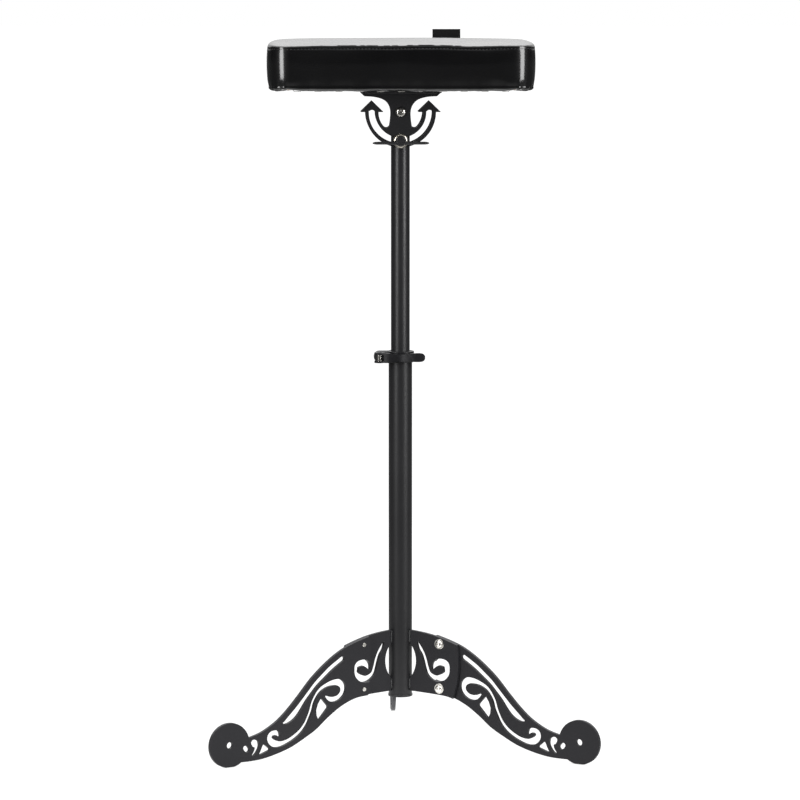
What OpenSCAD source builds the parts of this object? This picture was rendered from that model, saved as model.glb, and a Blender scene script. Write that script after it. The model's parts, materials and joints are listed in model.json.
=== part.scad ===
// Tattoo arm rest stand: a padded rest on a tilting yoke, a sliding and turning pole,
// a quick-release clamp and three scroll-cut plate legs bolted to fins on the lower tube.
// Frame: origin on the pole's axis at floor level, +Z up, -Y is the front. Millimetres.

/* [Pole] */
// Outside diameter of the lower, outer tube
outer_d = 31.8; // [28:0.2:38]
// Wall of the outer tube
outer_wall = 1.5; // [1:0.1:1.6]
// Length of the outer tube
outer_l = 467; // [400:1:560]
// Length of the outer tube that stands out below the fins
tube_below_fins = 5.2; // [4:0.2:10]
// Outside diameter of the inner tube
inner_d = 25.4; // [20:0.2:26]
// Wall of the inner tube
inner_wall = 1.5; // [1:0.1:3]
// Length of the inner tube
inner_l = 512; // [440:1:540]
// Length of inner tube inside the outer tube at rest
insert_l = 172; // [120:1:200]
// Width of the clamping slit in the outer tube
slit_w = 3; // [2:0.5:4]
// Length of the clamping slit
slit_l = 34; // [20:1:50]
// Diameter of the relief hole at the slit's end
slit_hole_d = 5; // [4:0.5:8]

/* [Guides and plugs] */
// Length of the upper guide bush inside the tube
upper_bush_l = 40; // [20:1:60]
// Thickness of the upper guide bush's top flange
bush_flange_t = 1.5; // [1:0.1:2]
// Length of the lower guide bush
lower_bush_l = 36; // [20:1:60]
// Thickness of the lower guide bush's foot lip
bush_lip_t = 2; // [1:0.5:4]
// Radial running clearance of the sliding and turning fits
run_gap = 0.05; // [0.02:0.01:0.1]
// Diameter of the bottom cap's flange
cap_d = 33.4; // [32:0.2:38]
// Thickness of the bottom cap's flange
cap_flange_t = 3.6; // [3:0.2:8]
// Height of the bottom cap's plug inside the tube
cap_plug_h = 14; // [8:1:16]
// Wall of the hollow plugs
plug_wall = 2; // [1:0.2:3]
// Height of the inner tube's top plug
top_plug_h = 3.4; // [2:0.2:3.6]

/* [Legs] */
// Distance from the pole's axis to a foot disc's centre
leg_reach = 270; // [230:1:320]
// Height of a leg's upper edge at the pole
arm_h = 162; // [150:1:176]
// Thickness of a leg plate
leg_t = 5; // [4:0.5:8]
// Diameter of a foot disc
foot_d = 60; // [56:1:66]
// Depth of the flat that a foot disc stands on
foot_flat = 0.6; // [0.4:0.1:1]
// Diameter of the hole in a foot disc
foot_hole_d = 9; // [5:0.5:14]
// Distance from a leg bolt's axis to the leg plate's inner end
leg_end_edge = 9; // [8:0.5:12]
// Corner chamfer of a leg plate's inner end
leg_corner = 4; // [1:0.5:6]

/* [Fins] */
// Thickness of a welded fin
fin_t = 5; // [4:0.5:8]
// Distance from a leg bolt's axis to a fin's outer end
fin_end_edge = 29; // [25:1:35]
// Radius of a fin's bowed outer end
fin_bow_r = 140; // [100:5:300]
// Width of the crescent opening beside the tube
crescent_w = 9.5; // [6:0.5:13]
// Height of the crescent opening
crescent_h = 48; // [24:1:52]
// Leg of a weld fillet
weld_leg = 2; // [1:0.25:3]

/* [Leg bolts] */
// Shank diameter of a leg bolt
leg_bolt_d = 6; // [4:0.5:7]
// Head diameter of a leg bolt
leg_bolt_head_d = 10.4; // [8:0.2:12]
// Flange diameter of a leg bolt
leg_bolt_flange_d = 13.8; // [11:0.2:14]
// Flange thickness of a leg bolt
leg_bolt_flange_t = 1; // [0.6:0.1:1.6]
// Head height of a leg bolt above its flange
leg_bolt_head_h = 2.4; // [1.5:0.1:4]
// Hexagon size of a leg bolt's socket across flats
leg_bolt_socket = 4; // [2.5:0.5:5]
// Length of a leg bolt that stands out behind the leg plate
leg_bolt_end = 0.2; // [0:0.1:3]

/* [Quick-release clamp] */
// Outside diameter of the clamp collar
collar_d = 37; // [35.4:0.2:38]
// Height of the clamp collar
collar_h = 15; // [14.6:0.2:17]
// Gap between the collar's ears
collar_gap = 3; // [2:0.5:5]
// Thickness of one collar ear
ear_block_t = 6.5; // [5:0.5:8]
// Distance from the pole's axis to the skewer
skewer_x = 28.5; // [27:0.5:32]
// Diameter of the skewer
skewer_d = 5; // [4:0.5:5.5]
// Thickness of the cam washer
cam_washer_t = 3; // [2:0.5:5]
// Radius of the cam lobes
cam_r = 7; // [6.5:0.25:8]
// Offset of the cam lobes from their pin
cam_offset = 1; // [0.5:0.25:1.5]
// Diameter of the cam pin
cam_pin_d = 7; // [6.5:0.5:8]
// Height of the lever's forked head
fork_h = 14; // [13:0.5:15]
// Gap between the fork's two prongs
fork_gap = 8.5; // [6:0.5:9]
// Distance from the cam pin to the lever's tip
lever_l = 60; // [50:1:80]
// Thickness of the lever's arm
lever_t = 4.4; // [3:0.2:5]
// Height of the lever's tip
lever_tip_h = 12; // [10:0.5:14]
// Diameter of the knurled nut
knurl_d = 13; // [11:0.5:14.5]
// Length of the knurled nut
knurl_l = 9; // [6:0.5:12]
// Number of grooves in the knurled nut
knurl_count = 16; // [8:1:24]

/* [Tilting yoke] */
// Height of the tube's top above the tilt pivot
pivot_drop = 15; // [12:0.5:15.5]
// Height of the mount plate's underside above the tilt pivot
pivot_to_plate = 26; // [24:0.5:30]
// Distance between the two anchor plates
yoke_gap = 32; // [30:0.5:38]
// Thickness of an anchor plate
anchor_t = 4; // [3:0.5:5]
// Width of an anchor plate's flange
anchor_w = 108; // [100:1:116]
// Radius of the arc slot's centre line about the pivot
slot_r = 38.5; // [37.5:0.5:40]
// Width of the metal on each side of the slot
slot_band = 4.6; // [4:0.2:5]
// Radius of the rounded notch between an anchor's shank and its arc
notch_r = 4.5; // [2:0.5:6]
// Angle of the arc slot's ends from straight down
slot_angle = 88; // [70:1:89]
// Width across an anchor's arrow head
arrow_w = 31; // [27:0.2:33]
// Height of an anchor's arrow head
arrow_h = 14; // [10:0.5:15]
// Diameter of the pivot bolt and of the tilt screw
bolt_d = 8; // [6:0.5:8]
// Head diameter of the pivot bolt
bolt_head_d = 14; // [12:0.5:16]
// Head height of the pivot bolt
bolt_head_h = 4.4; // [3:0.2:4.6]
// Hexagon size of the pivot bolt's socket
bolt_socket = 5; // [4:0.5:6]
// Size of the nuts across flats
nut_af = 13; // [10:0.5:14]
// Height of the nuts
nut_h = 7; // [5:0.5:9]
// Diameter of the tilt nut's flange
nut_flange_d = 17.8; // [15:0.2:18]
// Thickness of the tilt nut's flange
nut_flange_t = 1.5; // [1:0.25:2]
// Length of bolt that stands out of a nut
bolt_end = 2; // [0:0.5:5]
// Diameter of a saddle spacer between tube and anchor plate
saddle_d = 20; // [17:0.5:21]

/* [Tee handle] */
// Overall width of the tee handle
tee_w = 76; // [60:1:76]
// Thickness of the tee handle's wings at the hub
tee_mid_t = 6; // [4:0.5:8]
// Thickness of the tee handle's wings near their ends
tee_tip_t = 3.8; // [2:0.2:4.4]
// Drop of the tee handle's wings below its screw
tee_drop = 2.6; // [0:0.2:3]
// Depth of the tee handle's wings
tee_depth = 8; // [6:0.5:10]
// Diameter of the tee handle's hub
tee_hub_d = 14; // [12:0.5:18]
// Length of the tee handle's hub
tee_hub_l = 13; // [12.5:0.5:18]
// Diameter of the dished washer
tee_washer_d = 20; // [17:0.5:22]
// Height of the dished washer
tee_washer_h = 3; // [2:0.25:3.5]

/* [Mount plate] */
// Depth of the mount plate
plate_d = 96; // [80:1:100]
// Thickness of the mount plate
plate_t = 4; // [3:0.5:6]
// Distance between the mount screws along the pad
screw_pitch_x = 84; // [70:1:90]
// Distance between the mount screws across the pad
screw_pitch_y = 72; // [64:1:76]
// Diameter of a mount screw
screw_d = 6; // [4:0.5:6.5]
// Head diameter of a mount screw
screw_head_d = 11; // [9:0.5:12]
// Height of a mount screw's countersunk head
screw_head_h = 2.6; // [2:0.2:2.8]
// Flange diameter of a tee nut
tee_nut_d = 19; // [16:0.5:22]
// Flange thickness of a tee nut
tee_nut_t = 1.4; // [1:0.2:2]
// Barrel diameter of a tee nut
tee_nut_barrel_d = 8; // [7:0.5:9.5]

/* [Pad] */
// Width of the pad
pad_w = 355; // [300:1:420]
// Depth of the pad
pad_d = 150; // [140:1:180]
// Height of the pad's boxing, from its underside to the top seam
pad_h = 60; // [40:0.5:75]
// Rise of the crowned top above the seam
pad_crown = 10; // [3:0.5:14]
// Corner radius of the pad seen from above
pad_corner_r = 28; // [12:1:35]
// How far the sides are drawn in between the corners
pad_draw = 2.4; // [1:0.2:5]
// How far the sides swell at half height
pad_swell = 1.2; // [0:0.2:3]
// Thickness of the vinyl cover
cover_t = 1.2; // [0.8:0.1:2]
// Width of the cover's turned-under rim
rim_w = 23; // [16:1:24]
// Thickness of the plywood base board
board_t = 12; // [9:0.5:18]
// Clearance between the cover and what it holds
cover_gap = 0.3; // [0.2:0.05:0.5]
// Number of staples along each long side
staples_long = 11; // [5:1:16]
// Number of staples along each short side
staples_short = 4; // [2:1:5]
// Width of a staple's crown
staple_w = 10; // [6:0.5:12]
// Thickness of a staple's wire
staple_wire = 0.7; // [0.5:0.05:1]
// Length of a staple's legs
staple_leg = 6; // [4:0.5:8]

/* [Seam tag] */
// Width of the blank woven tag
tag_w = 38; // [20:1:60]
// Height of the tag above the back seam
tag_h = 21; // [10:1:40]
// Depth of the tag's foot below the seam
tag_foot = 3; // [1:0.5:3]
// Thickness of the folded tag
tag_t = 1.2; // [0.8:0.1:2]
// Distance of the tag's middle from the pad's middle
tag_x = 64.5; // [-120:0.5:120]

/* [Hidden] */

// Fineness of round faces and how many steps a smooth curve takes between two of its points
$fn = 64;
curve_steps = 4;
cap_steps = 6;
// Overrun of cuts, and clearance of bolts that don't turn
over = 1;
bolt_gap = 0.2;
// Seat gap between a turning face and what it turns on
face_gap = 0.05;

// Cushion form: rings from the underside to the crown. Each ring gives its height as a share
// of the boxing, its shares of the swell, of the drawing-in and of the crown, and how far it
// is drawn to the middle.
pad_rings_shares = [[0, 0, 0, 0, 0], [0.06, 0.3, 0, 0, 0], [0.25, 0.8, 0.25, 0, 0],
    [0.5, 1, 0.55, 0, 0], [0.75, 0.7, 0.8, 0, 0], [0.94, 0.15, 1, 0, 0], [1, -0.6, 1, 0, 0.02],
    [1, 0, 1, 0.3, 0.1], [1, 0, 1, 0.55, 0.24], [1, 0, 1, 0.78, 0.46], [1, 0, 1, 0.93, 0.7],
    [1, 0, 1, 1, 0.92]];
pad_side_steps = 6;
pad_corner_steps = 4;
// Least corner radius of a ring, as a share of its depth
pad_corner_share = 0.1;

// Directions of the three legs about the pole; each plate lies on its fin's left-turning side
leg_angles = [-30, 90, 210];

// Arm outline: places along the leg as shares of leg_reach, heights as shares of arm_h
arm_top_shares = [[0.04, 1], [0.13, 0.986], [0.215, 0.96], [0.32, 0.906], [0.39, 0.848],
    [0.46, 0.768], [0.535, 0.662], [0.605, 0.536], [0.665, 0.433], [0.72, 0.353], [0.775, 0.295],
    [0.83, 0.253], [0.9, 0.222]];
arm_under_shares = [[0.04, 0.483], [0.21, 0.47], [0.29, 0.453], [0.37, 0.398], [0.445, 0.316],
    [0.51, 0.231], [0.585, 0.162], [0.655, 0.106], [0.735, 0.065], [0.815, 0.038],
    [0.88, 0.03], [0.94, 0.03]];
// Scroll openings as ribbons: place, height and width, the width as a share of leg_reach
scroll_shares = [[0.452, 0.5, 0.008], [0.433, 0.478, 0.02], [0.408, 0.468, 0.027],
    [0.378, 0.481, 0.028], [0.355, 0.522, 0.03], [0.355, 0.573, 0.033], [0.378, 0.607, 0.033],
    [0.411, 0.608, 0.029], [0.444, 0.595, 0.023], [0.477, 0.568, 0.0215], [0.497, 0.539, 0.02],
    [0.514, 0.499, 0.019], [0.528, 0.454, 0.019], [0.538, 0.397, 0.02], [0.553, 0.34, 0.019],
    [0.57, 0.287, 0.02], [0.597, 0.235, 0.0215], [0.633, 0.192, 0.022], [0.671, 0.161, 0.022],
    [0.709, 0.144, 0.027], [0.739, 0.147, 0.033], [0.761, 0.167, 0.035], [0.772, 0.197, 0.034],
    [0.767, 0.225, 0.033], [0.753, 0.24, 0.028], [0.732, 0.238, 0.024], [0.72, 0.212, 0.01]];
leaf_shares = [[0.357, 0.801, 0.026], [0.385, 0.772, 0.026], [0.425, 0.728, 0.027],
    [0.463, 0.677, 0.0265], [0.507, 0.615, 0.025], [0.5435, 0.55, 0.0245], [0.577, 0.488, 0.026],
    [0.607, 0.427, 0.032], [0.6325, 0.381, 0.036], [0.657, 0.347, 0.0325], [0.68, 0.323, 0.0215],
    [0.694, 0.316, 0.01]];
comma_shares = [[0.104, 0.897, 0.01], [0.117, 0.851, 0.021], [0.134, 0.805, 0.02],
    [0.1455, 0.754, 0.021], [0.1545, 0.7, 0.021], [0.17, 0.639, 0.0235], [0.2085, 0.605, 0.031],
    [0.243, 0.618, 0.034], [0.266, 0.653, 0.032], [0.268, 0.6985, 0.036], [0.262, 0.731, 0.04],
    [0.24, 0.745, 0.038], [0.216, 0.742, 0.033], [0.198, 0.716, 0.025], [0.189, 0.684, 0.009]];
// The comma's hook as one opening, because only the fins have the tongue inside it
hook_shares = concat([for (i = [5:11]) flat(comma_shares[i])], [[0.18, 0.73]]);
small_comma_shares = [[0.864, 0.181, 0.032], [0.855, 0.167, 0.04], [0.848, 0.143, 0.026],
    [0.855, 0.108, 0.018], [0.869, 0.078, 0.013]];
oval_shares = [[0.913, 0.145, 0.024], [0.9075, 0.135, 0.026], [0.902, 0.126, 0.024]];
// Openings with corners: place and height
big_gusset_shares = [[0.482, 0.486], [0.474, 0.48], [0.442, 0.418], [0.44, 0.402],
    [0.488, 0.314], [0.497, 0.316], [0.506, 0.349], [0.508, 0.395], [0.498, 0.445]];
small_gusset_shares = [[0.811, 0.157], [0.805, 0.155], [0.775, 0.112], [0.776, 0.102],
    [0.829, 0.072], [0.836, 0.078], [0.825, 0.112], [0.816, 0.147]];
// Bolt places: place and height
bolt_shares = [[0.227, 0.9], [0.227, 0.523]];
// Height of the crescent opening's middle
crescent_mid_share = 0.74;
// Welded lands above and below the crescent opening: lower and upper end
land_shares = [[0.5, 0.586], [0.893, 0.995]];
// Distance from the pole's axis to the leg bolts, the leg plates' inner ends and the fins' outer ends
bolt_u = bolt_shares[0][0] * leg_reach;
leg_inner_u = bolt_u - leg_end_edge;
fin_reach = bolt_u + fin_end_edge;
// Radius of the crescent opening's round side
crescent_r = (crescent_h * crescent_h / 4 + crescent_w * crescent_w) / (2 * crescent_w);

// Points of the arm plane from its shares
function arm_point(s) = [s[0] * leg_reach, s[1] * arm_h];
function arm_points(list) = [for (s = list) arm_point(s)];
function arm_stations(list) = [for (s = list) [s[0] * leg_reach, s[1] * arm_h, s[2] * leg_reach]];

// A smooth curve through points, and a ribbon of changing width along one, with round ends
function blend4(a, b, c, d, t) =
    ((2 * b) + (c - a) * t + (2 * a - 5 * b + 4 * c - d) * t * t
    + (3 * b - a - 3 * c + d) * t * t * t) / 2;
function last(list) = list[len(list) - 1];
function smooth(p, steps = curve_steps) = concat(
    [for (i = [0:len(p) - 2], k = [0:steps - 1])
        blend4(p[max(i - 1, 0)], p[i], p[i + 1], p[min(i + 2, len(p) - 1)], k / steps)],
    [last(p)]);
function flat(v) = [v[0], v[1]];
function turned(a) = [cos(a), sin(a)];
function course(s, i) =
    let (d = flat(s[min(i + 1, len(s) - 1)]) - flat(s[max(i - 1, 0)])) atan2(d[1], d[0]);
function side_point(s, i, turn) = flat(s[i]) + turned(course(s, i) + turn) * s[i][2] / 2;
function ribbon(stations) = let (s = smooth(stations), n = len(s) - 1) concat(
    [for (i = [0:n]) side_point(s, i, 90)],
    [for (k = [1:cap_steps - 1]) side_point(s, n, 90 - 180 * k / cap_steps)],
    [for (i = [n:-1:0]) side_point(s, i, -90)],
    [for (k = [1:cap_steps - 1]) side_point(s, 0, -90 - 180 * k / cap_steps)]);
function reversed(list) = [for (i = [len(list) - 1:-1:0]) list[i]];
function rounded_box(w, d, r, steps) = [for (c = [0:3], k = [0:steps])
    let (a = 90 * c + 90 * k / steps, sx = (c == 0 || c == 3) ? 1 : -1, sy = c < 2 ? 1 : -1)
    [sx * (w / 2 - r), sy * (d / 2 - r)] + r * turned(a)];

// Derived sizes of the pole
outer_foot_z = arm_under_shares[0][1] * arm_h - tube_below_fins;
outer_r = outer_d / 2;
outer_bore_r = outer_r - outer_wall;
outer_top_z = outer_foot_z + outer_l;
inner_r = inner_d / 2;
inner_bore_r = inner_r - inner_wall;
inner_foot_z = outer_top_z - insert_l;
inner_top_z = inner_foot_z + inner_l;
pivot_z = inner_top_z - pivot_drop;
screw_z = pivot_z - slot_r;
bolt_r = bolt_d / 2;

// Derived sizes of the clamp
collar_top_z = outer_top_z + 1.5 * bush_flange_t;
clamp_mid_z = collar_top_z - collar_h / 2;
skewer_r = skewer_d / 2;
ear_face_y = collar_gap / 2 + ear_block_t;
cam_washer_y = ear_face_y + cam_washer_t;
cam_y = cam_washer_y + cam_r + cam_offset + face_gap;
// Lever seen from above, from its root to its tip: shares of the lever's length, of the way
// the arm stands in front of the cam pin, and of the arm's thickness
lever_bow = 7;
lever_shares = [[0.04, 0, 1.6], [0.12, 0.45, 1.5], [0.25, 0.9, 1.2], [0.42, 1, 1],
    [0.6, 0.45, 1], [0.78, 0, 1], [0.9, -0.12, 1.1], [0.985, -0.15, 1.1]];
// Height of the lever's arm along its length: share of the length, share of the tip's height
lever_height_shares = [[-0.15, 1.1], [0.2, 1.1], [0.34, 0.8], [0.6, 0.84], [0.82, 0.98],
    [0.93, 0.96], [0.985, 0.78], [1.015, 0.5], [1.03, 0.15]];

// Derived sizes of the yoke and the pad
anchor_in_y = yoke_gap / 2;
anchor_out_y = anchor_in_y + anchor_t;
slot_w = bolt_d + 2 * bolt_gap;
slot_in_r = slot_r - slot_w / 2 - slot_band;
slot_out_r = slot_r + slot_w / 2 + slot_band;
plate_z = pivot_z + pivot_to_plate;
board_z = plate_z + plate_t;
pad_z = board_z - cover_t;
foam_z = board_z + board_t;
seam_z = pad_z + pad_h;
tee_washer_y = anchor_out_y + face_gap + tee_washer_h;
tee_front_y = tee_washer_y + tee_hub_l;
// Wings of the tee handle seen from the front: place along a wing, and thickness between
// that near the ends and that at the hub
tee_wing_shares = [[0, 1], [0.16, 0.86], [0.4, 0.25], [0.7, 0], [1, 0]];
// Height of an anchor's flange above its lower corners, and the slant of its ends
flange_h = 7;
flange_slant = 5.5;
// Right edge of an anchor from its flange down the shank: shares of half the flange's width
// and of the height of the flange's lower corner above the pivot
anchor_edge_shares = [[0.9, 1], [0.66, 0.96], [0.44, 0.8], [0.31, 0.5], [0.25, 0.1],
    [0.25, -0.4], [0.285, -1.1], [0.285, -1.5]];
// Places of the mount screws
screw_places = [for (x = [-1, 1], y = [-1, 1]) [x * screw_pitch_x / 2, y * screw_pitch_y / 2]];

// Turns the plane of a polygon upright along a leg, from one side face to the other
module upright(angle, from, thick) {
    rotate([0, 0, angle]) translate([0, from + thick, 0]) rotate([90, 0, 0])
        linear_extrude(height = thick) children();
}

// Side faces of fin and leg plate, measured along the leg's left-turning normal
fin_from = -fin_t / 2;
leg_from = fin_t / 2;

// A closed cut through both plates
module plate_cut(angle, points) {
    upright(angle, fin_from - over, fin_t + leg_t + 2 * over) polygon(points);
}

module bolt_holes(angle, r) {
    for (s = bolt_shares) let (p = arm_point(s))
        rotate([0, 0, angle]) translate([p[0], 0, p[1]]) rotate([90, 0, 0])
            cylinder(r = r, h = 2 * (fin_t + leg_t), center = true, $fn = 32);
}

module arm_plate(angle, from, thick) {
    upright(angle, from, thick)
        polygon(concat(smooth(arm_points(arm_top_shares)),
            reversed(smooth(arm_points(arm_under_shares)))));
}

module fin(angle) {
    difference() {
        intersection() {
            arm_plate(angle, fin_from, fin_t);
            rotate([0, 0, angle]) translate([fin_reach - fin_bow_r, 0, arm_h * crescent_mid_share])
                rotate([90, 0, 0]) cylinder(r = fin_bow_r, h = 2 * fin_t, center = true, $fn = 180);
        }
        translate([0, 0, -over]) cylinder(r = outer_r, h = outer_top_z);
        rotate([0, 0, angle])
            translate([outer_r + crescent_w - crescent_r, 0, arm_h * crescent_mid_share])
            rotate([90, 0, 0]) cylinder(r = crescent_r, h = 2 * fin_t, center = true);
        plate_cut(angle, ribbon(arm_stations(comma_shares)));
        bolt_holes(angle, leg_bolt_d / 2 + bolt_gap);
    }
}

module leg(angle) {
    foot_z = foot_d / 2 - foot_flat;
    low_z = arm_under_shares[1][1] * arm_h;
    difference() {
        union() {
            intersection() {
                arm_plate(angle, leg_from, leg_t);
                upright(angle, leg_from, leg_t) polygon([[leg_inner_u, low_z + leg_corner],
                    [leg_inner_u, arm_h - 2 * leg_corner], [leg_inner_u + leg_corner, arm_h],
                    [leg_reach, arm_h], [leg_reach, 0], [leg_inner_u + leg_corner, 0],
                    [leg_inner_u + leg_corner, low_z]]);
            }
            rotate([0, 0, angle]) translate([leg_reach, leg_from + leg_t, foot_z])
                rotate([90, 0, 0]) cylinder(r = foot_d / 2, h = leg_t, $fn = 96);
        }
        rotate([0, 0, angle]) translate([leg_reach - foot_d, -leg_t, -foot_d])
            cube([2 * foot_d, fin_t + 2 * leg_t + over, foot_d]);
        rotate([0, 0, angle]) translate([leg_reach, leg_from + leg_t + over, foot_z])
            rotate([90, 0, 0]) cylinder(r = foot_hole_d / 2, h = leg_t + 2 * over);
        for (shares = [comma_shares, scroll_shares, leaf_shares, small_comma_shares, oval_shares])
            plate_cut(angle, ribbon(arm_stations(shares)));
        for (shares = [hook_shares, big_gusset_shares, small_gusset_shares])
            plate_cut(angle, arm_points(shares));
        bolt_holes(angle, leg_bolt_d / 2 + face_gap);
    }
}

module outer_tube() {
    color("#232325") difference() {
        translate([0, 0, outer_foot_z]) cylinder(r = outer_r, h = outer_l);
        translate([0, 0, outer_foot_z - over]) cylinder(r = outer_bore_r, h = outer_l + 2 * over);
        translate([-slit_w / 2, 0, outer_top_z - slit_l]) cube([slit_w, outer_d, slit_l + over]);
        translate([0, outer_d, outer_top_z - slit_l]) rotate([90, 0, 0])
            cylinder(r = slit_hole_d / 2, h = outer_d, $fn = 32);
    }
}

module fin_right() { color("#2e2e31") fin(leg_angles[0]); }
module fin_back() { color("#2e2e31") fin(leg_angles[1]); }
module fin_left() { color("#2e2e31") fin(leg_angles[2]); }
module leg_right() { color("#3a393d") leg(leg_angles[0]); }
module leg_back() { color("#3a393d") leg(leg_angles[1]); }
module leg_left() { color("#3a393d") leg(leg_angles[2]); }

// Fillets on both sides of each fin, at the lands above and below the crescent
module fin_welds() {
    root = sqrt(outer_r * outer_r - fin_t * fin_t / 4);
    color("#4a4a4c") for (angle = leg_angles, land = land_shares, side = [-1, 1])
        rotate([0, 0, angle]) difference() {
            translate([0, 0, land[0] * arm_h])
                linear_extrude(height = (land[1] - land[0]) * arm_h)
                polygon([[root - weld_leg, side * fin_t / 2], [root + weld_leg, side * fin_t / 2],
                    [root - weld_leg, side * (fin_t / 2 + weld_leg)]]);
            cylinder(r = outer_r, h = outer_top_z);
        }
}

// Flanged button bolts: head on the fin, thread in the leg plate
module leg_bolts() {
    shank_l = fin_t + leg_t + leg_bolt_end;
    head_l = leg_bolt_flange_t + leg_bolt_head_h;
    color("#b9b9bb") for (angle = leg_angles, s = bolt_shares) let (p = arm_point(s))
        rotate([0, 0, angle]) translate([p[0], fin_from, p[1]]) rotate([90, 0, 0]) difference() {
            union() {
                cylinder(r = leg_bolt_flange_d / 2, h = leg_bolt_flange_t);
                cylinder(r1 = leg_bolt_head_d / 2, r2 = leg_bolt_head_d / 3, h = head_l);
                translate([0, 0, -shank_l]) cylinder(r = leg_bolt_d / 2, h = shank_l + over);
            }
            translate([0, 0, leg_bolt_flange_t])
                cylinder(r = leg_bolt_socket / sqrt(3), h = head_l, $fn = 6);
        }
}

module bottom_cap() {
    plug_r = outer_bore_r - run_gap;
    color("#171718") difference() {
        union() {
            translate([0, 0, outer_foot_z - cap_flange_t]) cylinder(r = cap_d / 2, h = cap_flange_t);
            translate([0, 0, outer_foot_z - over]) cylinder(r = plug_r, h = cap_plug_h + over);
        }
        translate([0, 0, outer_foot_z - cap_flange_t + plug_wall])
            cylinder(r = plug_r - plug_wall, h = cap_flange_t + cap_plug_h);
    }
}

module upper_guide_bush() {
    color("#1b1b1c") difference() {
        union() {
            translate([0, 0, outer_top_z - upper_bush_l])
                cylinder(r = outer_bore_r - run_gap, h = upper_bush_l + bush_flange_t);
            translate([0, 0, outer_top_z]) cylinder(r = outer_r, h = bush_flange_t);
        }
        translate([0, 0, outer_top_z - upper_bush_l - over])
            cylinder(r = inner_r + run_gap, h = upper_bush_l + bush_flange_t + 2 * over);
        translate([-slit_w / 2, 0, outer_top_z - upper_bush_l - over])
            cube([slit_w, outer_d, upper_bush_l + bush_flange_t + 2 * over]);
    }
}

// Places a child whose axis is +Z onto the skewer's axis, pointing to the back
module on_skewer(y) {
    translate([-skewer_x, y, clamp_mid_z]) rotate([-90, 0, 0]) children();
}

module clamp_collar() {
    color("#2a2a2c") difference() {
        union() {
            translate([0, 0, collar_top_z - collar_h]) cylinder(r = collar_d / 2, h = collar_h);
            translate([-skewer_x, -ear_face_y, collar_top_z - collar_h])
                cube([skewer_x - outer_r, 2 * ear_face_y, collar_h]);
            on_skewer(-ear_face_y) cylinder(r = collar_h / 2, h = 2 * ear_face_y);
        }
        translate([0, 0, collar_top_z - collar_h - over])
            cylinder(r = outer_r + face_gap, h = collar_h + 2 * over);
        translate([-skewer_x - collar_h, -collar_gap / 2, collar_top_z - collar_h - over])
            cube([skewer_x + collar_h, collar_gap, collar_h + 2 * over]);
        on_skewer(-ear_face_y - over)
            cylinder(r = skewer_r + face_gap, h = 2 * (ear_face_y + over));
    }
}

module clamp_skewer() {
    color("#b0b0b2") on_skewer(-cam_y)
        cylinder(r = skewer_r, h = cam_y + ear_face_y + knurl_l - plug_wall);
}

module cam_pin() {
    color("#c4c4c6") difference() {
        translate([-skewer_x, -cam_y, clamp_mid_z])
            cylinder(r = cam_pin_d / 2, h = fork_h - over, center = true);
        on_skewer(-cam_y - over) cylinder(r = skewer_r + face_gap, h = cam_pin_d + over);
    }
}

module cam_washer() {
    color("#8d8a80") difference() {
        on_skewer(-cam_washer_y) cylinder(r = cam_r, h = cam_washer_t);
        on_skewer(-cam_washer_y - over)
            cylinder(r = skewer_r + face_gap, h = cam_washer_t + 2 * over);
    }
}

module clamp_nut() {
    color("#a8a8aa") difference() {
        on_skewer(ear_face_y + face_gap) cylinder(r = knurl_d / 2, h = knurl_l);
        on_skewer(ear_face_y - over)
            cylinder(r = skewer_r + face_gap, h = knurl_l - plug_wall + 2 * over);
        for (k = [0:knurl_count - 1])
            on_skewer(ear_face_y - over) rotate([0, 0, 360 * k / knurl_count])
                translate([knurl_d / 2, 0, 0])
                cylinder(r = knurl_d / 26, h = knurl_l + 2 * over + face_gap, $fn = 16);
    }
}

// Lever: two cam lobes in a fork, and an arm that lies across the front of the collar
module clamp_lever() {
    arm = [for (s = lever_shares) [s[0] * lever_l, -s[1] * lever_bow, s[2] * lever_t]];
    half = [for (s = lever_height_shares) [s[0] * lever_l, s[1] * lever_tip_h / 2]];
    color("#1c1c1e") translate([-skewer_x, -cam_y, clamp_mid_z]) difference() {
        union() {
            intersection() {
                translate([0, 0, -fork_h]) linear_extrude(height = 2 * fork_h) polygon(ribbon(arm));
                translate([0, fork_h, 0]) rotate([90, 0, 0]) linear_extrude(height = 3 * fork_h)
                    polygon(concat(smooth(half), reversed([for (p = smooth(half)) [p[0], -p[1]]])));
            }
            translate([0, cam_offset, -fork_h / 2]) cylinder(r = cam_r, h = fork_h);
        }
        translate([-2 * cam_r, -2 * cam_r, -fork_gap / 2])
            cube([2 * cam_r + cam_pin_d / 2 + skewer_r, 4 * cam_r, fork_gap]);
        cylinder(r = cam_pin_d / 2 + run_gap, h = 2 * fork_h, center = true);
    }
}

module lower_guide_bush() {
    color("#1b1b1c") translate([0, 0, inner_foot_z - bush_lip_t - face_gap]) difference() {
        cylinder(r = outer_bore_r - run_gap, h = lower_bush_l);
        translate([0, 0, bush_lip_t]) cylinder(r = inner_r + run_gap, h = lower_bush_l);
        translate([0, 0, -over]) cylinder(r = inner_bore_r, h = lower_bush_l);
    }
}

// A bore or bolt along Y through the tube's top, from one depth to another
module across(z, from, to, r) {
    translate([0, to, z]) rotate([90, 0, 0]) cylinder(r = r, h = to - from);
}

module inner_tube() {
    color("#232325") difference() {
        translate([0, 0, inner_foot_z]) cylinder(r = inner_r, h = inner_l);
        translate([0, 0, inner_foot_z - over]) cylinder(r = inner_bore_r, h = inner_l + 2 * over);
        across(pivot_z, -inner_d, inner_d, bolt_r + face_gap);
        across(screw_z, -inner_d, inner_d, bolt_r + face_gap);
    }
}

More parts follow.
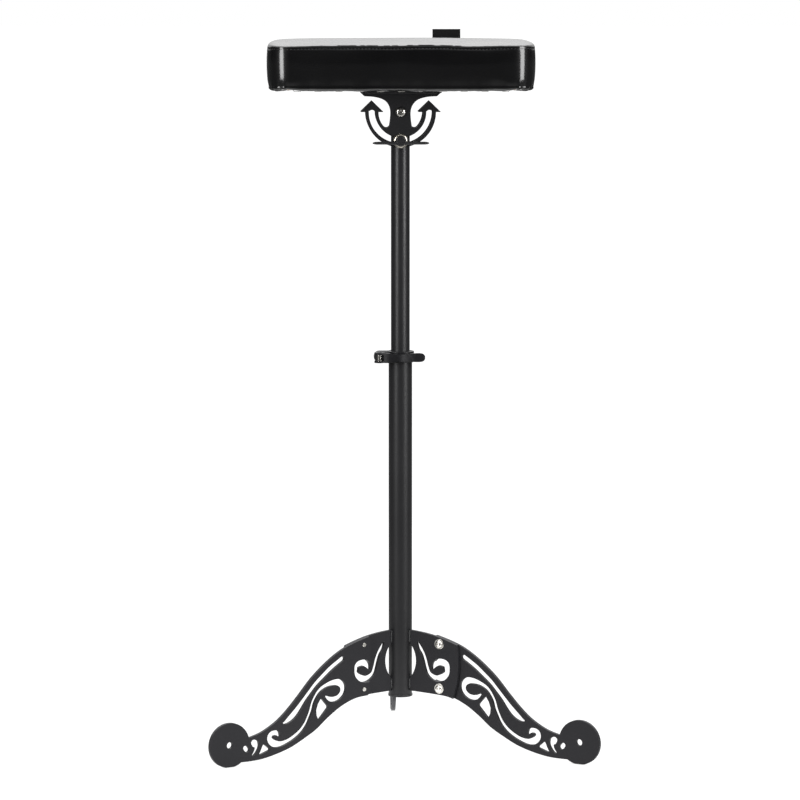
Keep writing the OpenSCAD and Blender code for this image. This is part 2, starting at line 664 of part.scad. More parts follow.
module tube_top_plug() {
    color("#171718") translate([0, 0, inner_top_z - top_plug_h])
        cylinder(r = inner_bore_r - face_gap, h = top_plug_h);
}

// Spacers that sit on the round tube and give the anchor plates flat faces to turn on
module pole_saddles() {
    color("#1b1b1c") for (z = [pivot_z, screw_z], side = [0, 180]) rotate([0, 0, side])
        difference() {
            across(z, 0, anchor_in_y - face_gap, saddle_d / 2);
            cylinder(r = inner_r + face_gap, h = inner_top_z + saddle_d);
            across(z, -over, anchor_in_y + over, bolt_r + face_gap);
        }
}

module pivot_bolt() {
    head_y = anchor_out_y + face_gap;
    color("#c2c2c4") difference() {
        union() {
            across(pivot_z, -head_y, anchor_out_y + nut_h + bolt_end, bolt_r);
            translate([0, -head_y, pivot_z]) rotate([90, 0, 0])
                cylinder(r1 = bolt_head_d / 2, r2 = bolt_head_d / 3.4, h = bolt_head_h);
        }
        translate([0, -head_y - bolt_head_h / 3, pivot_z]) rotate([90, 0, 0])
            cylinder(r = bolt_socket / sqrt(3), h = bolt_head_h, $fn = 6);
    }
}

module pivot_nut() {
    color("#b0b0b2") difference() {
        translate([0, anchor_out_y + face_gap, pivot_z]) rotate([-90, 0, 0])
            cylinder(r = nut_af / sqrt(3), h = nut_h, $fn = 6);
        across(pivot_z, anchor_out_y - over, anchor_out_y + nut_h + over, bolt_r + face_gap);
    }
}

module tilt_nut() {
    color("#b0b0b2") difference() {
        union() {
            translate([0, anchor_out_y + face_gap, screw_z]) rotate([-90, 0, 0])
                cylinder(r = nut_af / sqrt(3), h = nut_h, $fn = 6);
            across(screw_z, anchor_out_y + face_gap, anchor_out_y + face_gap + nut_flange_t,
                nut_flange_d / 2);
        }
        across(screw_z, anchor_out_y - over, anchor_out_y + nut_h + over, bolt_r + run_gap);
    }
}

module tee_screw() {
    color("#b9b9bb")
        across(screw_z, -tee_washer_y - tee_hub_l / 2, anchor_out_y + nut_h + bolt_end, bolt_r);
}

module tee_washer() {
    color("#c8c8ca") translate([0, -anchor_out_y - face_gap, screw_z]) rotate([90, 0, 0])
        rotate_extrude() polygon([[bolt_r + face_gap, 0], [tee_washer_d / 2, 0],
            [tee_washer_d / 2, tee_washer_h / 3], [tee_hub_d / 2, tee_washer_h],
            [bolt_r + face_gap, tee_washer_h]]);
}

module tee_handle() {
    half = tee_w / 2 - tee_tip_t / 2;
    right = [for (s = tee_wing_shares)
        [s[0] * half, -tee_drop, tee_tip_t + s[1] * (tee_mid_t - tee_tip_t)]];
    left = [for (s = reversed(right)) if (s[0] > 0) [-s[0], s[1], s[2]]];
    color("#141415") difference() {
        union() {
            across(screw_z, -tee_front_y, -tee_washer_y, tee_hub_d / 2);
            translate([0, -tee_front_y + over + tee_depth, screw_z]) rotate([90, 0, 0])
                linear_extrude(height = tee_depth) polygon(ribbon(concat(left, right)));
        }
        across(screw_z, -tee_washer_y - tee_hub_l / 2, 0, bolt_r + face_gap);
    }
}

// Anchor plate, seen from the front, with the pivot at the polygon's origin
module anchor(from) {
    flange_z = pivot_to_plate - flange_h + plate_t / 2;
    curve = smooth([for (s = anchor_edge_shares) [s[0] * anchor_w / 2, s[1] * flange_z]]);
    shank = (anchor_edge_shares[5][0] + anchor_edge_shares[6][0]) * anchor_w / 4;
    notch_x = shank + notch_r;
    notch_z = -sqrt((slot_in_r - notch_r) * (slot_in_r - notch_r) - notch_x * notch_x);
    notch_out = (slot_in_r + over) / (slot_in_r - notch_r);
    translate([0, from + anchor_t, pivot_z]) rotate([90, 0, 0]) difference() {
        union() {
            linear_extrude(height = anchor_t) polygon(concat(
                [[-anchor_w / 2, pivot_to_plate], [anchor_w / 2, pivot_to_plate]], curve,
                reversed([for (p = curve) [-p[0], p[1]]])));
            difference() {
                cylinder(r = slot_out_r, h = anchor_t, $fn = 128);
                translate([0, 0, -over]) cylinder(r = slot_in_r, h = anchor_t + 2 * over, $fn = 128);
                translate([-slot_out_r - over, 0, -over])
                    cube([2 * (slot_out_r + over), slot_out_r + over, anchor_t + 2 * over]);
            }
            for (side = [-1, 1]) linear_extrude(height = anchor_t)
                polygon([[side * (slot_r - arrow_w / 2), 0], [side * slot_in_r, 0],
                    [side * slot_in_r, -over], [side * slot_out_r, -over], [side * slot_out_r, 0],
                    [side * (slot_r + arrow_w / 2), 0], [side * slot_r, over + arrow_h]]);
            for (side = [-1, 1]) difference() {
                linear_extrude(height = anchor_t)
                    polygon([[side * (notch_x - notch_r - over), notch_z], [side * notch_x, notch_z],
                        notch_out * [side * notch_x, notch_z],
                        [side * (notch_x - notch_r - over), -slot_in_r]]);
                translate([side * notch_x, notch_z, -over])
                    cylinder(r = notch_r, h = anchor_t + 2 * over);
            }
        }
        translate([0, 0, -over]) cylinder(r = bolt_r + run_gap, h = anchor_t + 2 * over);
        difference() {
            translate([0, 0, -over])
                cylinder(r = slot_r + slot_w / 2, h = anchor_t + 2 * over, $fn = 128);
            translate([0, 0, -2 * over])
                cylinder(r = slot_r - slot_w / 2, h = anchor_t + 4 * over, $fn = 128);
            for (side = [-1, 1]) rotate([0, 0, side * (90 - slot_angle)]) mirror([side < 0 ? 1 : 0, 0, 0])
                translate([0, 0, -2 * over])
                cube([slot_out_r + over, slot_out_r + over, anchor_t + 4 * over]);
        }
        for (side = [-1, 1]) rotate([0, 0, -90 + side * slot_angle])
            translate([slot_r, 0, -over]) cylinder(r = slot_w / 2, h = anchor_t + 2 * over);
    }
}

module front_anchor() { color("#232325") anchor(-anchor_out_y); }
module rear_anchor() { color("#232325") anchor(anchor_in_y); }

// Fillets that join the anchor plates to the mount plate, on their outer faces
module anchor_welds() {
    weld_l = anchor_w - 2 * flange_slant;
    color("#3a3a3c") for (side = [-1, 1]) translate([-weld_l / 2, 0, plate_z])
        rotate([90, 0, 90]) linear_extrude(height = weld_l)
        polygon([[side * anchor_out_y, 0], [side * (anchor_out_y + weld_leg), 0],
            [side * anchor_out_y, -weld_leg]]);
}

module mount_plate() {
    color("#232325") difference() {
        translate([0, 0, plate_z]) linear_extrude(height = plate_t)
            polygon(rounded_box(anchor_w, plate_d, plate_t, cap_steps));
        for (p = screw_places) translate([p[0], p[1], plate_z]) {
            translate([0, 0, -over])
                cylinder(r = screw_d / 2 + bolt_gap, h = plate_t + 2 * over, $fn = 32);
            cylinder(r1 = screw_head_d / 2 + bolt_gap, r2 = screw_d / 2 + bolt_gap,
                h = screw_head_h, $fn = 48);
        }
    }
}

module mount_screws() {
    color("#b9b9bb") for (p = screw_places) translate([p[0], p[1], plate_z]) difference() {
        union() {
            cylinder(r = screw_d / 2, h = plate_t + board_t, $fn = 32);
            cylinder(r1 = screw_head_d / 2, r2 = screw_d / 2, h = screw_head_h, $fn = 48);
        }
        translate([0, 0, -over]) cylinder(r = screw_d / 3, h = over + screw_head_h, $fn = 6);
    }
}

module tee_nuts() {
    color("#a0a0a2") for (p = screw_places) translate([p[0], p[1], board_z]) difference() {
        union() {
            translate([0, 0, board_t - tee_nut_t])
                cylinder(r = tee_nut_d / 2, h = tee_nut_t, $fn = 48);
            translate([0, 0, board_t / 4])
                cylinder(r = tee_nut_barrel_d / 2, h = board_t * 3 / 4, $fn = 32);
        }
        translate([0, 0, -over]) cylinder(r = screw_d / 2 + face_gap, h = board_t + 2 * over, $fn = 32);
    }
}

module base_board() {
    inset = pad_swell + cover_t + cover_gap;
    color("#b08d5b") difference() {
        translate([0, 0, board_z]) linear_extrude(height = board_t)
            polygon(rounded_box(pad_w - 2 * inset, pad_d - 2 * inset, pad_corner_r, cap_steps));
        for (p = screw_places) {
            translate([p[0], p[1], board_z - over])
                cylinder(r = tee_nut_barrel_d / 2 + face_gap, h = board_t + 2 * over, $fn = 32);
            translate([p[0], p[1], foam_z - tee_nut_t])
                cylinder(r = tee_nut_d / 2 + face_gap, h = tee_nut_t + over, $fn = 48);
        }
    }
}

// One ring: w and d are its full sizes, r its corners, draw the drawing-in of its sides
function pad_ring(w, d, r, draw) = concat(
    [for (k = [0:pad_side_steps - 1]) let (t = 2 * k / pad_side_steps - 1)
        [w / 2 - draw * (1 - t * t) * d / w, t * (d / 2 - r)]],
    [for (k = [0:pad_corner_steps - 1]) [w / 2 - r, d / 2 - r] + r * turned(90 * k / pad_corner_steps)],
    [for (k = [0:pad_side_steps - 1]) let (t = 2 * k / pad_side_steps - 1)
        [-t * (w / 2 - r), d / 2 - draw * (1 - t * t)]],
    [for (k = [0:pad_corner_steps - 1])
        [r - w / 2, d / 2 - r] + r * turned(90 + 90 * k / pad_corner_steps)],
    [for (k = [0:pad_side_steps - 1]) let (t = 2 * k / pad_side_steps - 1)
        [draw * (1 - t * t) * d / w - w / 2, -t * (d / 2 - r)]],
    [for (k = [0:pad_corner_steps - 1])
        [r - w / 2, r - d / 2] + r * turned(180 + 90 * k / pad_corner_steps)],
    [for (k = [0:pad_side_steps - 1]) let (t = 2 * k / pad_side_steps - 1)
        [t * (w / 2 - r), draw * (1 - t * t) - d / 2]],
    [for (k = [0:pad_corner_steps - 1])
        [w / 2 - r, r - d / 2] + r * turned(270 + 90 * k / pad_corner_steps)]);

module pad_form(inset, low_z) {
    rings = [for (s = pad_rings_shares) let (
        grow = (s[1] - 1) * pad_swell - inset - s[4] * pad_d / 2,
        w = pad_w + 2 * grow, d = pad_d + 2 * grow,
        r = min(max(pad_corner_r * (1 - s[4]) - inset, pad_corner_share * d), d * 2 / 5),
        z = s[0] == 0 ? low_z
            : max(low_z, pad_z + s[0] * pad_h + s[3] * pad_crown - (s[0] == 1 ? inset : 0)))
        [for (p = pad_ring(w, d, r, s[2] * pad_draw * (1 - s[4]))) [p[0], p[1], z]]];
    n = len(rings[0]);
    m = len(rings);
    foot = m * n;
    polyhedron(points = concat([for (ring = rings, p = ring) p],
        [[0, 0, rings[0][0][2]], [0, 0, rings[m - 1][0][2]]]), convexity = 4, faces = concat(
        [for (k = [0:n - 1]) [foot, k, (k + 1) % n]],
        [for (i = [0:m - 2], k = [0:n - 1]) each [
            [i * n + k, (i + 1) * n + (k + 1) % n, i * n + (k + 1) % n],
            [i * n + k, (i + 1) * n + k, (i + 1) * n + (k + 1) % n]]],
        [for (k = [0:n - 1]) [foot + 1, (m - 1) * n + (k + 1) % n, (m - 1) * n + k]]));
}

module foam_core() {
    color("#d8cf9c") pad_form(cover_t + cover_gap, foam_z + face_gap);
}

module pad_cover() {
    color("#151516") difference() {
        pad_form(0, pad_z);
        pad_form(cover_t, board_z);
        translate([0, 0, pad_z - over]) linear_extrude(height = cover_t + 2 * over)
            polygon(rounded_box(pad_w - 2 * rim_w, pad_d - 2 * rim_w, plate_t, cap_steps));
    }
}

// Staples through the turned-under rim into the board
module staple() {
    translate([-staple_w / 2, -staple_wire / 2, -staple_wire])
        cube([staple_w, staple_wire, staple_wire]);
    for (side = [-1, 1]) translate([side * (staple_w - staple_wire) / 2 - staple_wire / 2,
        -staple_wire / 2, -staple_wire / 2]) cube([staple_wire, staple_wire, staple_leg]);
}

module cover_staples() {
    line_w = pad_w - rim_w;
    line_d = pad_d - rim_w;
    color("#9c9c9e") {
        for (k = [1:staples_long], side = [-1, 1])
            translate([line_w * (k / (staples_long + 1) - 0.5), side * line_d / 2, pad_z]) staple();
        for (k = [1:staples_short], side = [-1, 1])
            translate([side * line_w / 2, line_d * (k / (staples_short + 1) - 0.5), pad_z])
            rotate([0, 0, 90]) staple();
    }
}

module seam_tag() {
    t = 2 * (abs(tag_x) + tag_w / 2) / (pad_w - 2 * pad_corner_r);
    back_y = pad_d / 2 - pad_swell * 4 / 5 - pad_draw * (1 - t * t);
    color("#19191a") translate([tag_x - tag_w / 2, back_y, seam_z - tag_foot])
        cube([tag_w, tag_t, tag_foot + tag_h]);
}

outer_tube();
fin_right();
fin_back();
fin_left();
fin_welds();
leg_right();
leg_back();
leg_left();
leg_bolts();
bottom_cap();
upper_guide_bush();
clamp_collar();
clamp_skewer();
cam_pin();
cam_washer();
clamp_nut();
clamp_lever();
lower_guide_bush();
inner_tube();
tube_top_plug();
pole_saddles();
pivot_bolt();
pivot_nut();
tilt_nut();
tee_screw();
tee_washer();
tee_handle();
front_anchor();
rear_anchor();
anchor_welds();
mount_plate();
mount_screws();
tee_nuts();
base_board();
foam_core();
pad_cover();
cover_staples();
seam_tag();
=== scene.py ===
import json
import math
import random

import bmesh
import bpy
import numpy as np
from mathutils import Matrix, Vector
from mathutils import noise as noise_field
from mathutils.kdtree import KDTree

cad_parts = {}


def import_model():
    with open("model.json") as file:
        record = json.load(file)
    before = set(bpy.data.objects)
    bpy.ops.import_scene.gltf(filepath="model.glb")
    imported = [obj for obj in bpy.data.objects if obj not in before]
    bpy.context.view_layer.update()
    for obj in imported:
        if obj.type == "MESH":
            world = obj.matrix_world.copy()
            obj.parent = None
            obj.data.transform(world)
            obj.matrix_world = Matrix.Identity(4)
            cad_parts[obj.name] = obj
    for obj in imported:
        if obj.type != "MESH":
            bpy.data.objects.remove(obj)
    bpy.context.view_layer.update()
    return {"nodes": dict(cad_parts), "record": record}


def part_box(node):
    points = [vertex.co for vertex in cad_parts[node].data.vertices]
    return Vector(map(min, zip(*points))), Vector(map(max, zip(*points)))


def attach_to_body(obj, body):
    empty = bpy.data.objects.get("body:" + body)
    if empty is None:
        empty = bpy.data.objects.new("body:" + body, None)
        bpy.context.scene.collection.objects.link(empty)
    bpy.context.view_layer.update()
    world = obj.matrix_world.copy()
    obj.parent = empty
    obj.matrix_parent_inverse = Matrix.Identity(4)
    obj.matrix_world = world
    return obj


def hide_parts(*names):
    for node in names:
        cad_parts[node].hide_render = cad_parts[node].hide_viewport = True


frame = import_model()
MM = 0.001
rng = random.Random(7)


# Camera: the photograph's place, 5 m in front of the pole and 1.45 degrees to its left
CAMERA_AWAY = 5.0
CAMERA_HIGH = 1.011
CAMERA_YAW = math.radians(1.45)
CAMERA_PITCH = math.radians(6.115)
CAMERA_LENS = 167.0
CAMERA_HEADING_TRIM = math.radians(0.0054)


def camera():
    data = bpy.data.cameras.new("camera")
    data.sensor_width = 36
    data.lens = CAMERA_LENS
    data.clip_start = 0.05
    data.clip_end = 500
    obj = bpy.data.objects.new("camera", data)
    bpy.context.scene.collection.objects.link(obj)
    obj.location = (-math.sin(CAMERA_YAW) * CAMERA_AWAY, -math.cos(CAMERA_YAW) * CAMERA_AWAY,
                    CAMERA_HIGH)
    obj.rotation_euler = (math.pi / 2 - CAMERA_PITCH, 0, CAMERA_HEADING_TRIM - CAMERA_YAW)
    bpy.context.scene.camera = obj


camera()
bpy.context.scene.view_settings.view_transform = "Standard"


# Shader helpers
def add_node(tree, kind, inputs=None, **settings):
    made = tree.nodes.new("ShaderNode" + kind)
    for key, value in settings.items():
        setattr(made, key, value)
    for key, value in (inputs or {}).items():
        if isinstance(value, bpy.types.NodeSocket):
            tree.links.new(value, made.inputs[key])
        else:
            made.inputs[key].default_value = value
    return made


def maths(tree, operation, a, b=0.0, clamp=False):
    return add_node(tree, "Math", {0: a, 1: b}, operation=operation, use_clamp=clamp).outputs[0]


def ramp(tree, value, low, high, from_low, from_high):
    return add_node(tree, "MapRange", {"Value": value, "From Min": from_low,
                    "From Max": from_high, "To Min": low, "To Max": high}).outputs[0]


def position(tree):
    return add_node(tree, "TexCoord").outputs["Object"]


def grain(tree, scale, detail=2.0, roughness=0.5):
    return add_node(tree, "TexNoise", {"Vector": position(tree), "Scale": scale,
                    "Detail": detail, "Roughness": roughness}).outputs["Fac"]


def tint(tree, value, dark, light):
    mixed = add_node(tree, "Mix", data_type="RGBA")
    tree.links.new(value, mixed.inputs["Factor"])
    mixed.inputs["A"].default_value = (*dark, 1)
    mixed.inputs["B"].default_value = (*light, 1)
    return mixed.outputs["Result"]


def bump(tree, height, distance, strength=1.0, before=None):
    inputs = {"Height": height, "Distance": distance, "Strength": strength}
    if before is not None:
        inputs["Normal"] = before
    return add_node(tree, "Bump", inputs).outputs["Normal"]


def new_material(name, **fixed):
    made = bpy.data.materials.new(name)
    made.use_nodes = True
    tree = made.node_tree
    shader = tree.nodes["Principled BSDF"]
    for key, value in fixed.items():
        shader.inputs[key.replace("_", " ").title().replace("Ior", "IOR")].default_value = value
    return made, tree, shader


def attach(tree, shader, **sockets):
    for key, value in sockets.items():
        tree.links.new(value, shader.inputs[key.replace("_", " ").title()])


# Stage: a white floor, a lit wall behind the object and two tall softboxes in front. What a
# camera ray meets is white; what glossy rays meet is drawn here by direction.
FLOOR_REACH = 150.0
FLOOR_DROP = 0.0003
BACKDROP_HALF_ANGLE = math.radians(14)
BACKDROP_LIGHT = 0.7
ROOM_LIGHT = 0.032
WALL_LOW = 0.72
WALL_RISE = 4.9
NEAR_FLOOR = 1.5


def backdrop(tree, heading):
    """1 towards the backdrop and 0 elsewhere, from the heading's cosine."""
    return ramp(tree, heading, 0.0, 1.0, math.cos(BACKDROP_HALF_ANGLE * 1.35),
                math.cos(BACKDROP_HALF_ANGLE * 0.8))


def world():
    made = bpy.data.worlds.new("studio")
    bpy.context.scene.world = made
    made.use_nodes = True
    tree = made.node_tree
    tree.nodes.clear()
    way = add_node(tree, "TexCoord").outputs["Generated"]
    axes = add_node(tree, "SeparateXYZ", {0: way})
    level = maths(tree, "SQRT", maths(tree, "SUBTRACT", 1.0,
                  maths(tree, "POWER", axes.outputs["Z"], 2.0)))
    heading = maths(tree, "DIVIDE", axes.outputs["Y"], level)
    behind = backdrop(tree, heading)
    up = axes.outputs["Z"]
    wall = maths(tree, "MULTIPLY", ramp(tree, heading, 0.0, 1.0, 0.3, 0.7),
                 maths(tree, "MULTIPLY", ramp(tree, up, 0.0, 1.0, 0.05, 0.12),
                       maths(tree, "ADD", maths(tree, "MULTIPLY", maths(tree, "POWER", up, 2.0),
                             WALL_RISE), WALL_LOW)))
    overhead = maths(tree, "ADD", ramp(tree, up, 0.0, 0.9, 0.4, 0.7),
                     ramp(tree, up, 0.0, 1.6, 0.85, 0.96))
    overhead = maths(tree, "MAXIMUM", overhead, wall)
    light = maths(tree, "ADD", maths(tree, "MULTIPLY", behind, BACKDROP_LIGHT),
                  ROOM_LIGHT)
    light = maths(tree, "MAXIMUM", light, overhead)
    seen = add_node(tree, "LightPath").outputs["Is Camera Ray"]
    strength = maths(tree, "MAXIMUM", light, seen)
    shade = add_node(tree, "Background", {"Color": (1, 1, 1, 1), "Strength": strength})
    out = add_node(tree, "OutputWorld")
    tree.links.new(shade.outputs[0], out.inputs["Surface"])


def floor():
    mesh = bpy.data.meshes.new("floor")
    r = FLOOR_REACH
    mesh.from_pydata([(-r, -r, -FLOOR_DROP), (r, -r, -FLOOR_DROP), (r, r, -FLOOR_DROP),
                      (-r, r, -FLOOR_DROP)], [], [(0, 1, 2, 3)])
    obj = bpy.data.objects.new("floor", mesh)
    bpy.context.scene.collection.objects.link(obj)
    made = bpy.data.materials.new("floor_white")
    made.use_nodes = True
    tree = made.node_tree
    tree.nodes.clear()
    place = add_node(tree, "TexCoord").outputs["Object"]
    axes = add_node(tree, "SeparateXYZ", {0: place})
    away = add_node(tree, "VectorMath", {0: place}, operation="LENGTH").outputs["Value"]
    far = ramp(tree, away, 0.0, 1.0, 1.0, 2.4)
    heading = maths(tree, "DIVIDE", axes.outputs["Y"], maths(tree, "MAXIMUM", away, 0.01))
    behind = backdrop(tree, heading)
    albedo = ramp(tree, far, 0.2, 0.06, 0.0, 1.0)
    shade = add_node(tree, "BsdfDiffuse", {"Color": add_node(tree, "CombineXYZ",
                     {0: albedo, 1: albedo, 2: albedo}).outputs[0]})
    path = add_node(tree, "LightPath")
    seen = maths(tree, "MULTIPLY", path.outputs["Is Camera Ray"],
                 ramp(tree, far, 0.8, 1.0, 0.0, 0.6))
    mirrored = maths(tree, "MAXIMUM", path.outputs["Is Glossy Ray"],
                     path.outputs["Is Transmission Ray"])
    under = ramp(tree, away, NEAR_FLOOR, 0.0, 0.2, 0.55)
    mirrored = maths(tree, "MULTIPLY", mirrored, maths(tree, "MAXIMUM", under,
                     maths(tree, "MULTIPLY", behind, far)))
    glow = add_node(tree, "Emission", {"Strength": maths(tree, "MAXIMUM", seen, mirrored)})
    both = add_node(tree, "AddShader", {0: shade.outputs[0], 1: glow.outputs[0]})
    out = add_node(tree, "OutputMaterial")
    tree.links.new(both.outputs[0], out.inputs["Surface"])
    mesh.materials.append(made)


def softbox(name, azimuth, away, high, size, power, target_high):
    data = bpy.data.lights.new(name, "AREA")
    data.shape = "RECTANGLE"
    data.size, data.size_y = size
    data.energy = power
    obj = bpy.data.objects.new(name, data)
    bpy.context.scene.collection.objects.link(obj)
    turn = math.radians(azimuth)
    place = Vector((math.sin(turn) * away, -math.cos(turn) * away, high))
    obj.location = place
    obj.rotation_euler = (Vector((0, 0, target_high)) - place).to_track_quat("-Z", "Y").to_euler()


world()
floor()
softbox("softbox_left", azimuth=-44, away=2.4, high=1.25, size=(0.7, 1.6), power=37,
        target_high=0.95)
softbox("softbox_right", azimuth=52, away=2.4, high=1.35, size=(0.8, 2.0), power=50,
        target_high=0.85)


# Materials
def powder(name, colour, roughness, level):
    """Powder coat: orange peel, fine dust of lighter specks and a slight wear in its gloss."""
    made, tree, shader = new_material(name, specular_ior_level=level)
    peel = grain(tree, 700, 2)
    speck = grain(tree, 5200, 1)
    drift = grain(tree, 9, 3)
    attach(tree, shader,
           base_color=tint(tree, maths(tree, "POWER", speck, 3.0), colour,
                           [c * 2.2 for c in colour]),
           roughness=ramp(tree, drift, roughness - 0.05, roughness + 0.06, 0.3, 0.7),
           normal=bump(tree, speck, 0.00002, 0.5, bump(tree, peel, 0.00012, 0.5)))
    return made


def zinc():
    made, tree, shader = new_material("bright_zinc", metallic=1.0)
    cloud = grain(tree, 160, 4)
    turned = grain(tree, 2600, 2)
    attach(tree, shader,
           base_color=tint(tree, cloud, (0.72, 0.7, 0.65), (0.86, 0.84, 0.79)),
           roughness=ramp(tree, cloud, 0.1, 0.2, 0.3, 0.7),
           normal=bump(tree, turned, 0.00002, 0.25))
    return made


def moulded(name, colour, roughness):
    made, tree, shader = new_material(name, specular_ior_level=0.45)
    texture = grain(tree, 2400, 3)
    patch = grain(tree, 30, 2)
    attach(tree, shader,
           base_color=tint(tree, patch, colour, [c * 1.5 for c in colour]),
           roughness=ramp(tree, patch, roughness - 0.05, roughness + 0.08, 0.3, 0.7),
           normal=bump(tree, texture, 0.00006, 0.4))
    return made


def anodised():
    made, tree, shader = new_material("black_alloy", metallic=0.1, specular_ior_level=0.25)
    blast = grain(tree, 4200, 2)
    drift = grain(tree, 40, 3)
    attach(tree, shader,
           base_color=tint(tree, drift, (0.008, 0.008, 0.009), (0.016, 0.016, 0.018)),
           roughness=ramp(tree, drift, 0.3, 0.4, 0.3, 0.7),
           normal=bump(tree, blast, 0.00003, 0.3))
    return made


def vinyl():
    """Glossy upholstery vinyl with a fine pebble grain and faint stretch marks."""
    made, tree, shader = new_material("black_vinyl", specular_ior_level=0.12, coat_weight=0.95,
                                      coat_roughness=0.13, coat_ior=1.55)
    pebble = add_node(tree, "TexVoronoi", {"Vector": position(tree), "Scale": 820.0},
                      feature="SMOOTH_F1").outputs["Distance"]
    pores = grain(tree, 3600, 2)
    drift = grain(tree, 14, 4)
    relief = bump(tree, pores, 0.00002, 0.4, bump(tree, pebble, 0.00009, 0.35))
    attach(tree, shader,
           base_color=tint(tree, drift, (0.0012, 0.0012, 0.0014), (0.0022, 0.0022, 0.0026)),
           roughness=ramp(tree, drift, 0.32, 0.42, 0.3, 0.7), normal=relief)
    tree.links.new(bump(tree, pebble, 0.00005, 0.25), shader.inputs["Coat Normal"])
    return made


def thread():
    made, tree, shader = new_material("black_thread", specular_ior_level=0.4, sheen_weight=0.3)
    twist = add_node(tree, "TexWave", {"Vector": position(tree), "Scale": 900.0,
                     "Distortion": 1.0}).outputs["Fac"]
    attach(tree, shader, base_color=tint(tree, twist, (0.008, 0.008, 0.009), (0.03, 0.03, 0.032)),
           roughness=ramp(tree, twist, 0.4, 0.6, 0.0, 1.0), normal=bump(tree, twist, 0.0001, 0.5))
    return made


def plywood():
    """Birch ply: long grain on the faces, and plies of changing tone through its thickness."""
    made, tree, shader = new_material("plywood", specular_ior_level=0.35)
    place = position(tree)
    stretched = add_node(tree, "Mapping", {"Vector": place, "Scale": (6, 90, 90)}).outputs[0]
    wood = add_node(tree, "TexNoise", {"Vector": stretched, "Scale": 3.0, "Detail": 6.0,
                    "Distortion": 1.4}).outputs["Fac"]
    layer = add_node(tree, "TexWave", {"Vector": place, "Scale": 110.0, "Distortion": 0.4},
                     bands_direction="Z").outputs["Fac"]
    tone = maths(tree, "MULTIPLY", wood, ramp(tree, layer, 0.75, 1.15, 0.2, 0.8))
    attach(tree, shader, base_color=tint(tree, tone, (0.34, 0.2, 0.1), (0.68, 0.5, 0.3)),
           roughness=ramp(tree, wood, 0.55, 0.72, 0.3, 0.7), normal=bump(tree, wood, 0.0002, 0.4))
    return made


def woven():
    """Woven tape: crossing warp and weft threads."""
    made, tree, shader = new_material("woven_tape", specular_ior_level=0.15, sheen_weight=0.03,
                                      sheen_roughness=0.5)
    place = position(tree)
    across = add_node(tree, "TexWave", {"Vector": place, "Scale": 420.0},
                      bands_direction="X").outputs["Fac"]
    along = add_node(tree, "TexWave", {"Vector": place, "Scale": 420.0},
                     bands_direction="Z").outputs["Fac"]
    weave = maths(tree, "MULTIPLY", across, along)
    attach(tree, shader, base_color=tint(tree, weave, (0.003, 0.003, 0.003), (0.012, 0.0118, 0.0115)),
           roughness=ramp(tree, weave, 0.75, 0.9, 0.0, 1.0), normal=bump(tree, weave, 0.00018, 0.6))
    return made


MATERIALS = {
    "tube": powder("powder_black", (0.0105, 0.0105, 0.0115), 0.36, 0.45),
    # plate: the black powder coat, rougher and of lower gloss, with a darker colour that is painted
    # shade for the anchors, the mount plate and their welds under the cushion
    "plate": powder("powder_plate_painted_shade", (0.0085, 0.0085, 0.0095), 0.44, 0.35),
    "charcoal": powder("powder_charcoal", (0.0165, 0.0163, 0.0185), 0.56, 0.22),
    "zinc": zinc(),
    "plastic": moulded("black_plastic", (0.011, 0.011, 0.012), 0.42),
    "resin": moulded("washer_resin", (0.02, 0.02, 0.02), 0.4),
    "alloy": anodised(),
    "vinyl": vinyl(),
    "thread": thread(),
    "plywood": plywood(),
    "woven": woven(),
}
# The plate finish given below carries painted shade: its darker colour stands for the cushion's
# shadow on those parts
NODE_FINISH = {
    "outer_tube": "tube", "inner_tube": "tube", "fin_right": "charcoal", "fin_back": "charcoal",
    "fin_left": "charcoal", "leg_right": "charcoal", "leg_back": "charcoal", "leg_left": "charcoal",
    "bottom_cap": "plastic", "upper_guide_bush": "plastic", "lower_guide_bush": "plastic",
    "tube_top_plug": "plastic", "pole_saddles": "plastic", "clamp_collar": "alloy",
    "clamp_lever": "alloy", "clamp_skewer": "zinc", "cam_pin": "zinc", "cam_washer": "resin",
    "clamp_nut": "zinc", "pivot_bolt": "zinc", "pivot_nut": "zinc", "tilt_nut": "zinc",
    "tee_screw": "zinc", "tee_washer": "zinc", "tee_handle": "plastic", "front_anchor": "plate",
    "rear_anchor": "plate", "mount_plate": "plate", "mount_screws": "zinc", "tee_nuts": "zinc",
    "base_board": "plywood", "fin_welds": "tube", "anchor_welds": "plate", "leg_bolts": "zinc",
    "cover_staples": "zinc", "pad_cover": "vinyl", "foam_core": "vinyl", "seam_tag": "woven"}
BODY_OF = {node: body for body, nodes in frame["record"]["behaviour"]["bodies"].items()
           for node in nodes}

for name, finish in NODE_FINISH.items():
    slots = frame["nodes"][name].material_slots
    for place in slots:
        place.material = MATERIALS[finish]


# Mesh helpers
WELD_GAP = 2e-6
FLAT_ANGLE = math.radians(0.6)
SHARP_ANGLE = 32


def build(name, points, faces, finish, smooth_angle=40):
    mesh = bpy.data.meshes.new(name)
    mesh.from_pydata([tuple(p) for p in points], [], faces)
    mesh.validate()
    mesh.update()
    mesh.shade_smooth()
    mesh.set_sharp_from_angle(angle=math.radians(smooth_angle))
    mesh.materials.append(MATERIALS[finish])
    obj = bpy.data.objects.new(name, mesh)
    bpy.context.scene.collection.objects.link(obj)
    return obj


def settle(obj, finish, *nodes):
    """The piece rides with its nodes' body and stands for them, whose parts are hidden; finish is not
    used.
    """
    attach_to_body(obj, BODY_OF[nodes[0]])
    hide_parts(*nodes)
    return obj


def welded(node):
    """A working copy of a node's mesh, with its doubled points joined."""
    work = bmesh.new()
    work.from_mesh(frame["nodes"][node].data)
    bmesh.ops.remove_doubles(work, verts=work.verts, dist=WELD_GAP)
    return work


def flattened(node):
    """The same with the triangles of each flat face made one face."""
    work = welded(node)
    bmesh.ops.dissolve_limit(work, angle_limit=FLAT_ANGLE, verts=[], edges=work.edges)
    return work


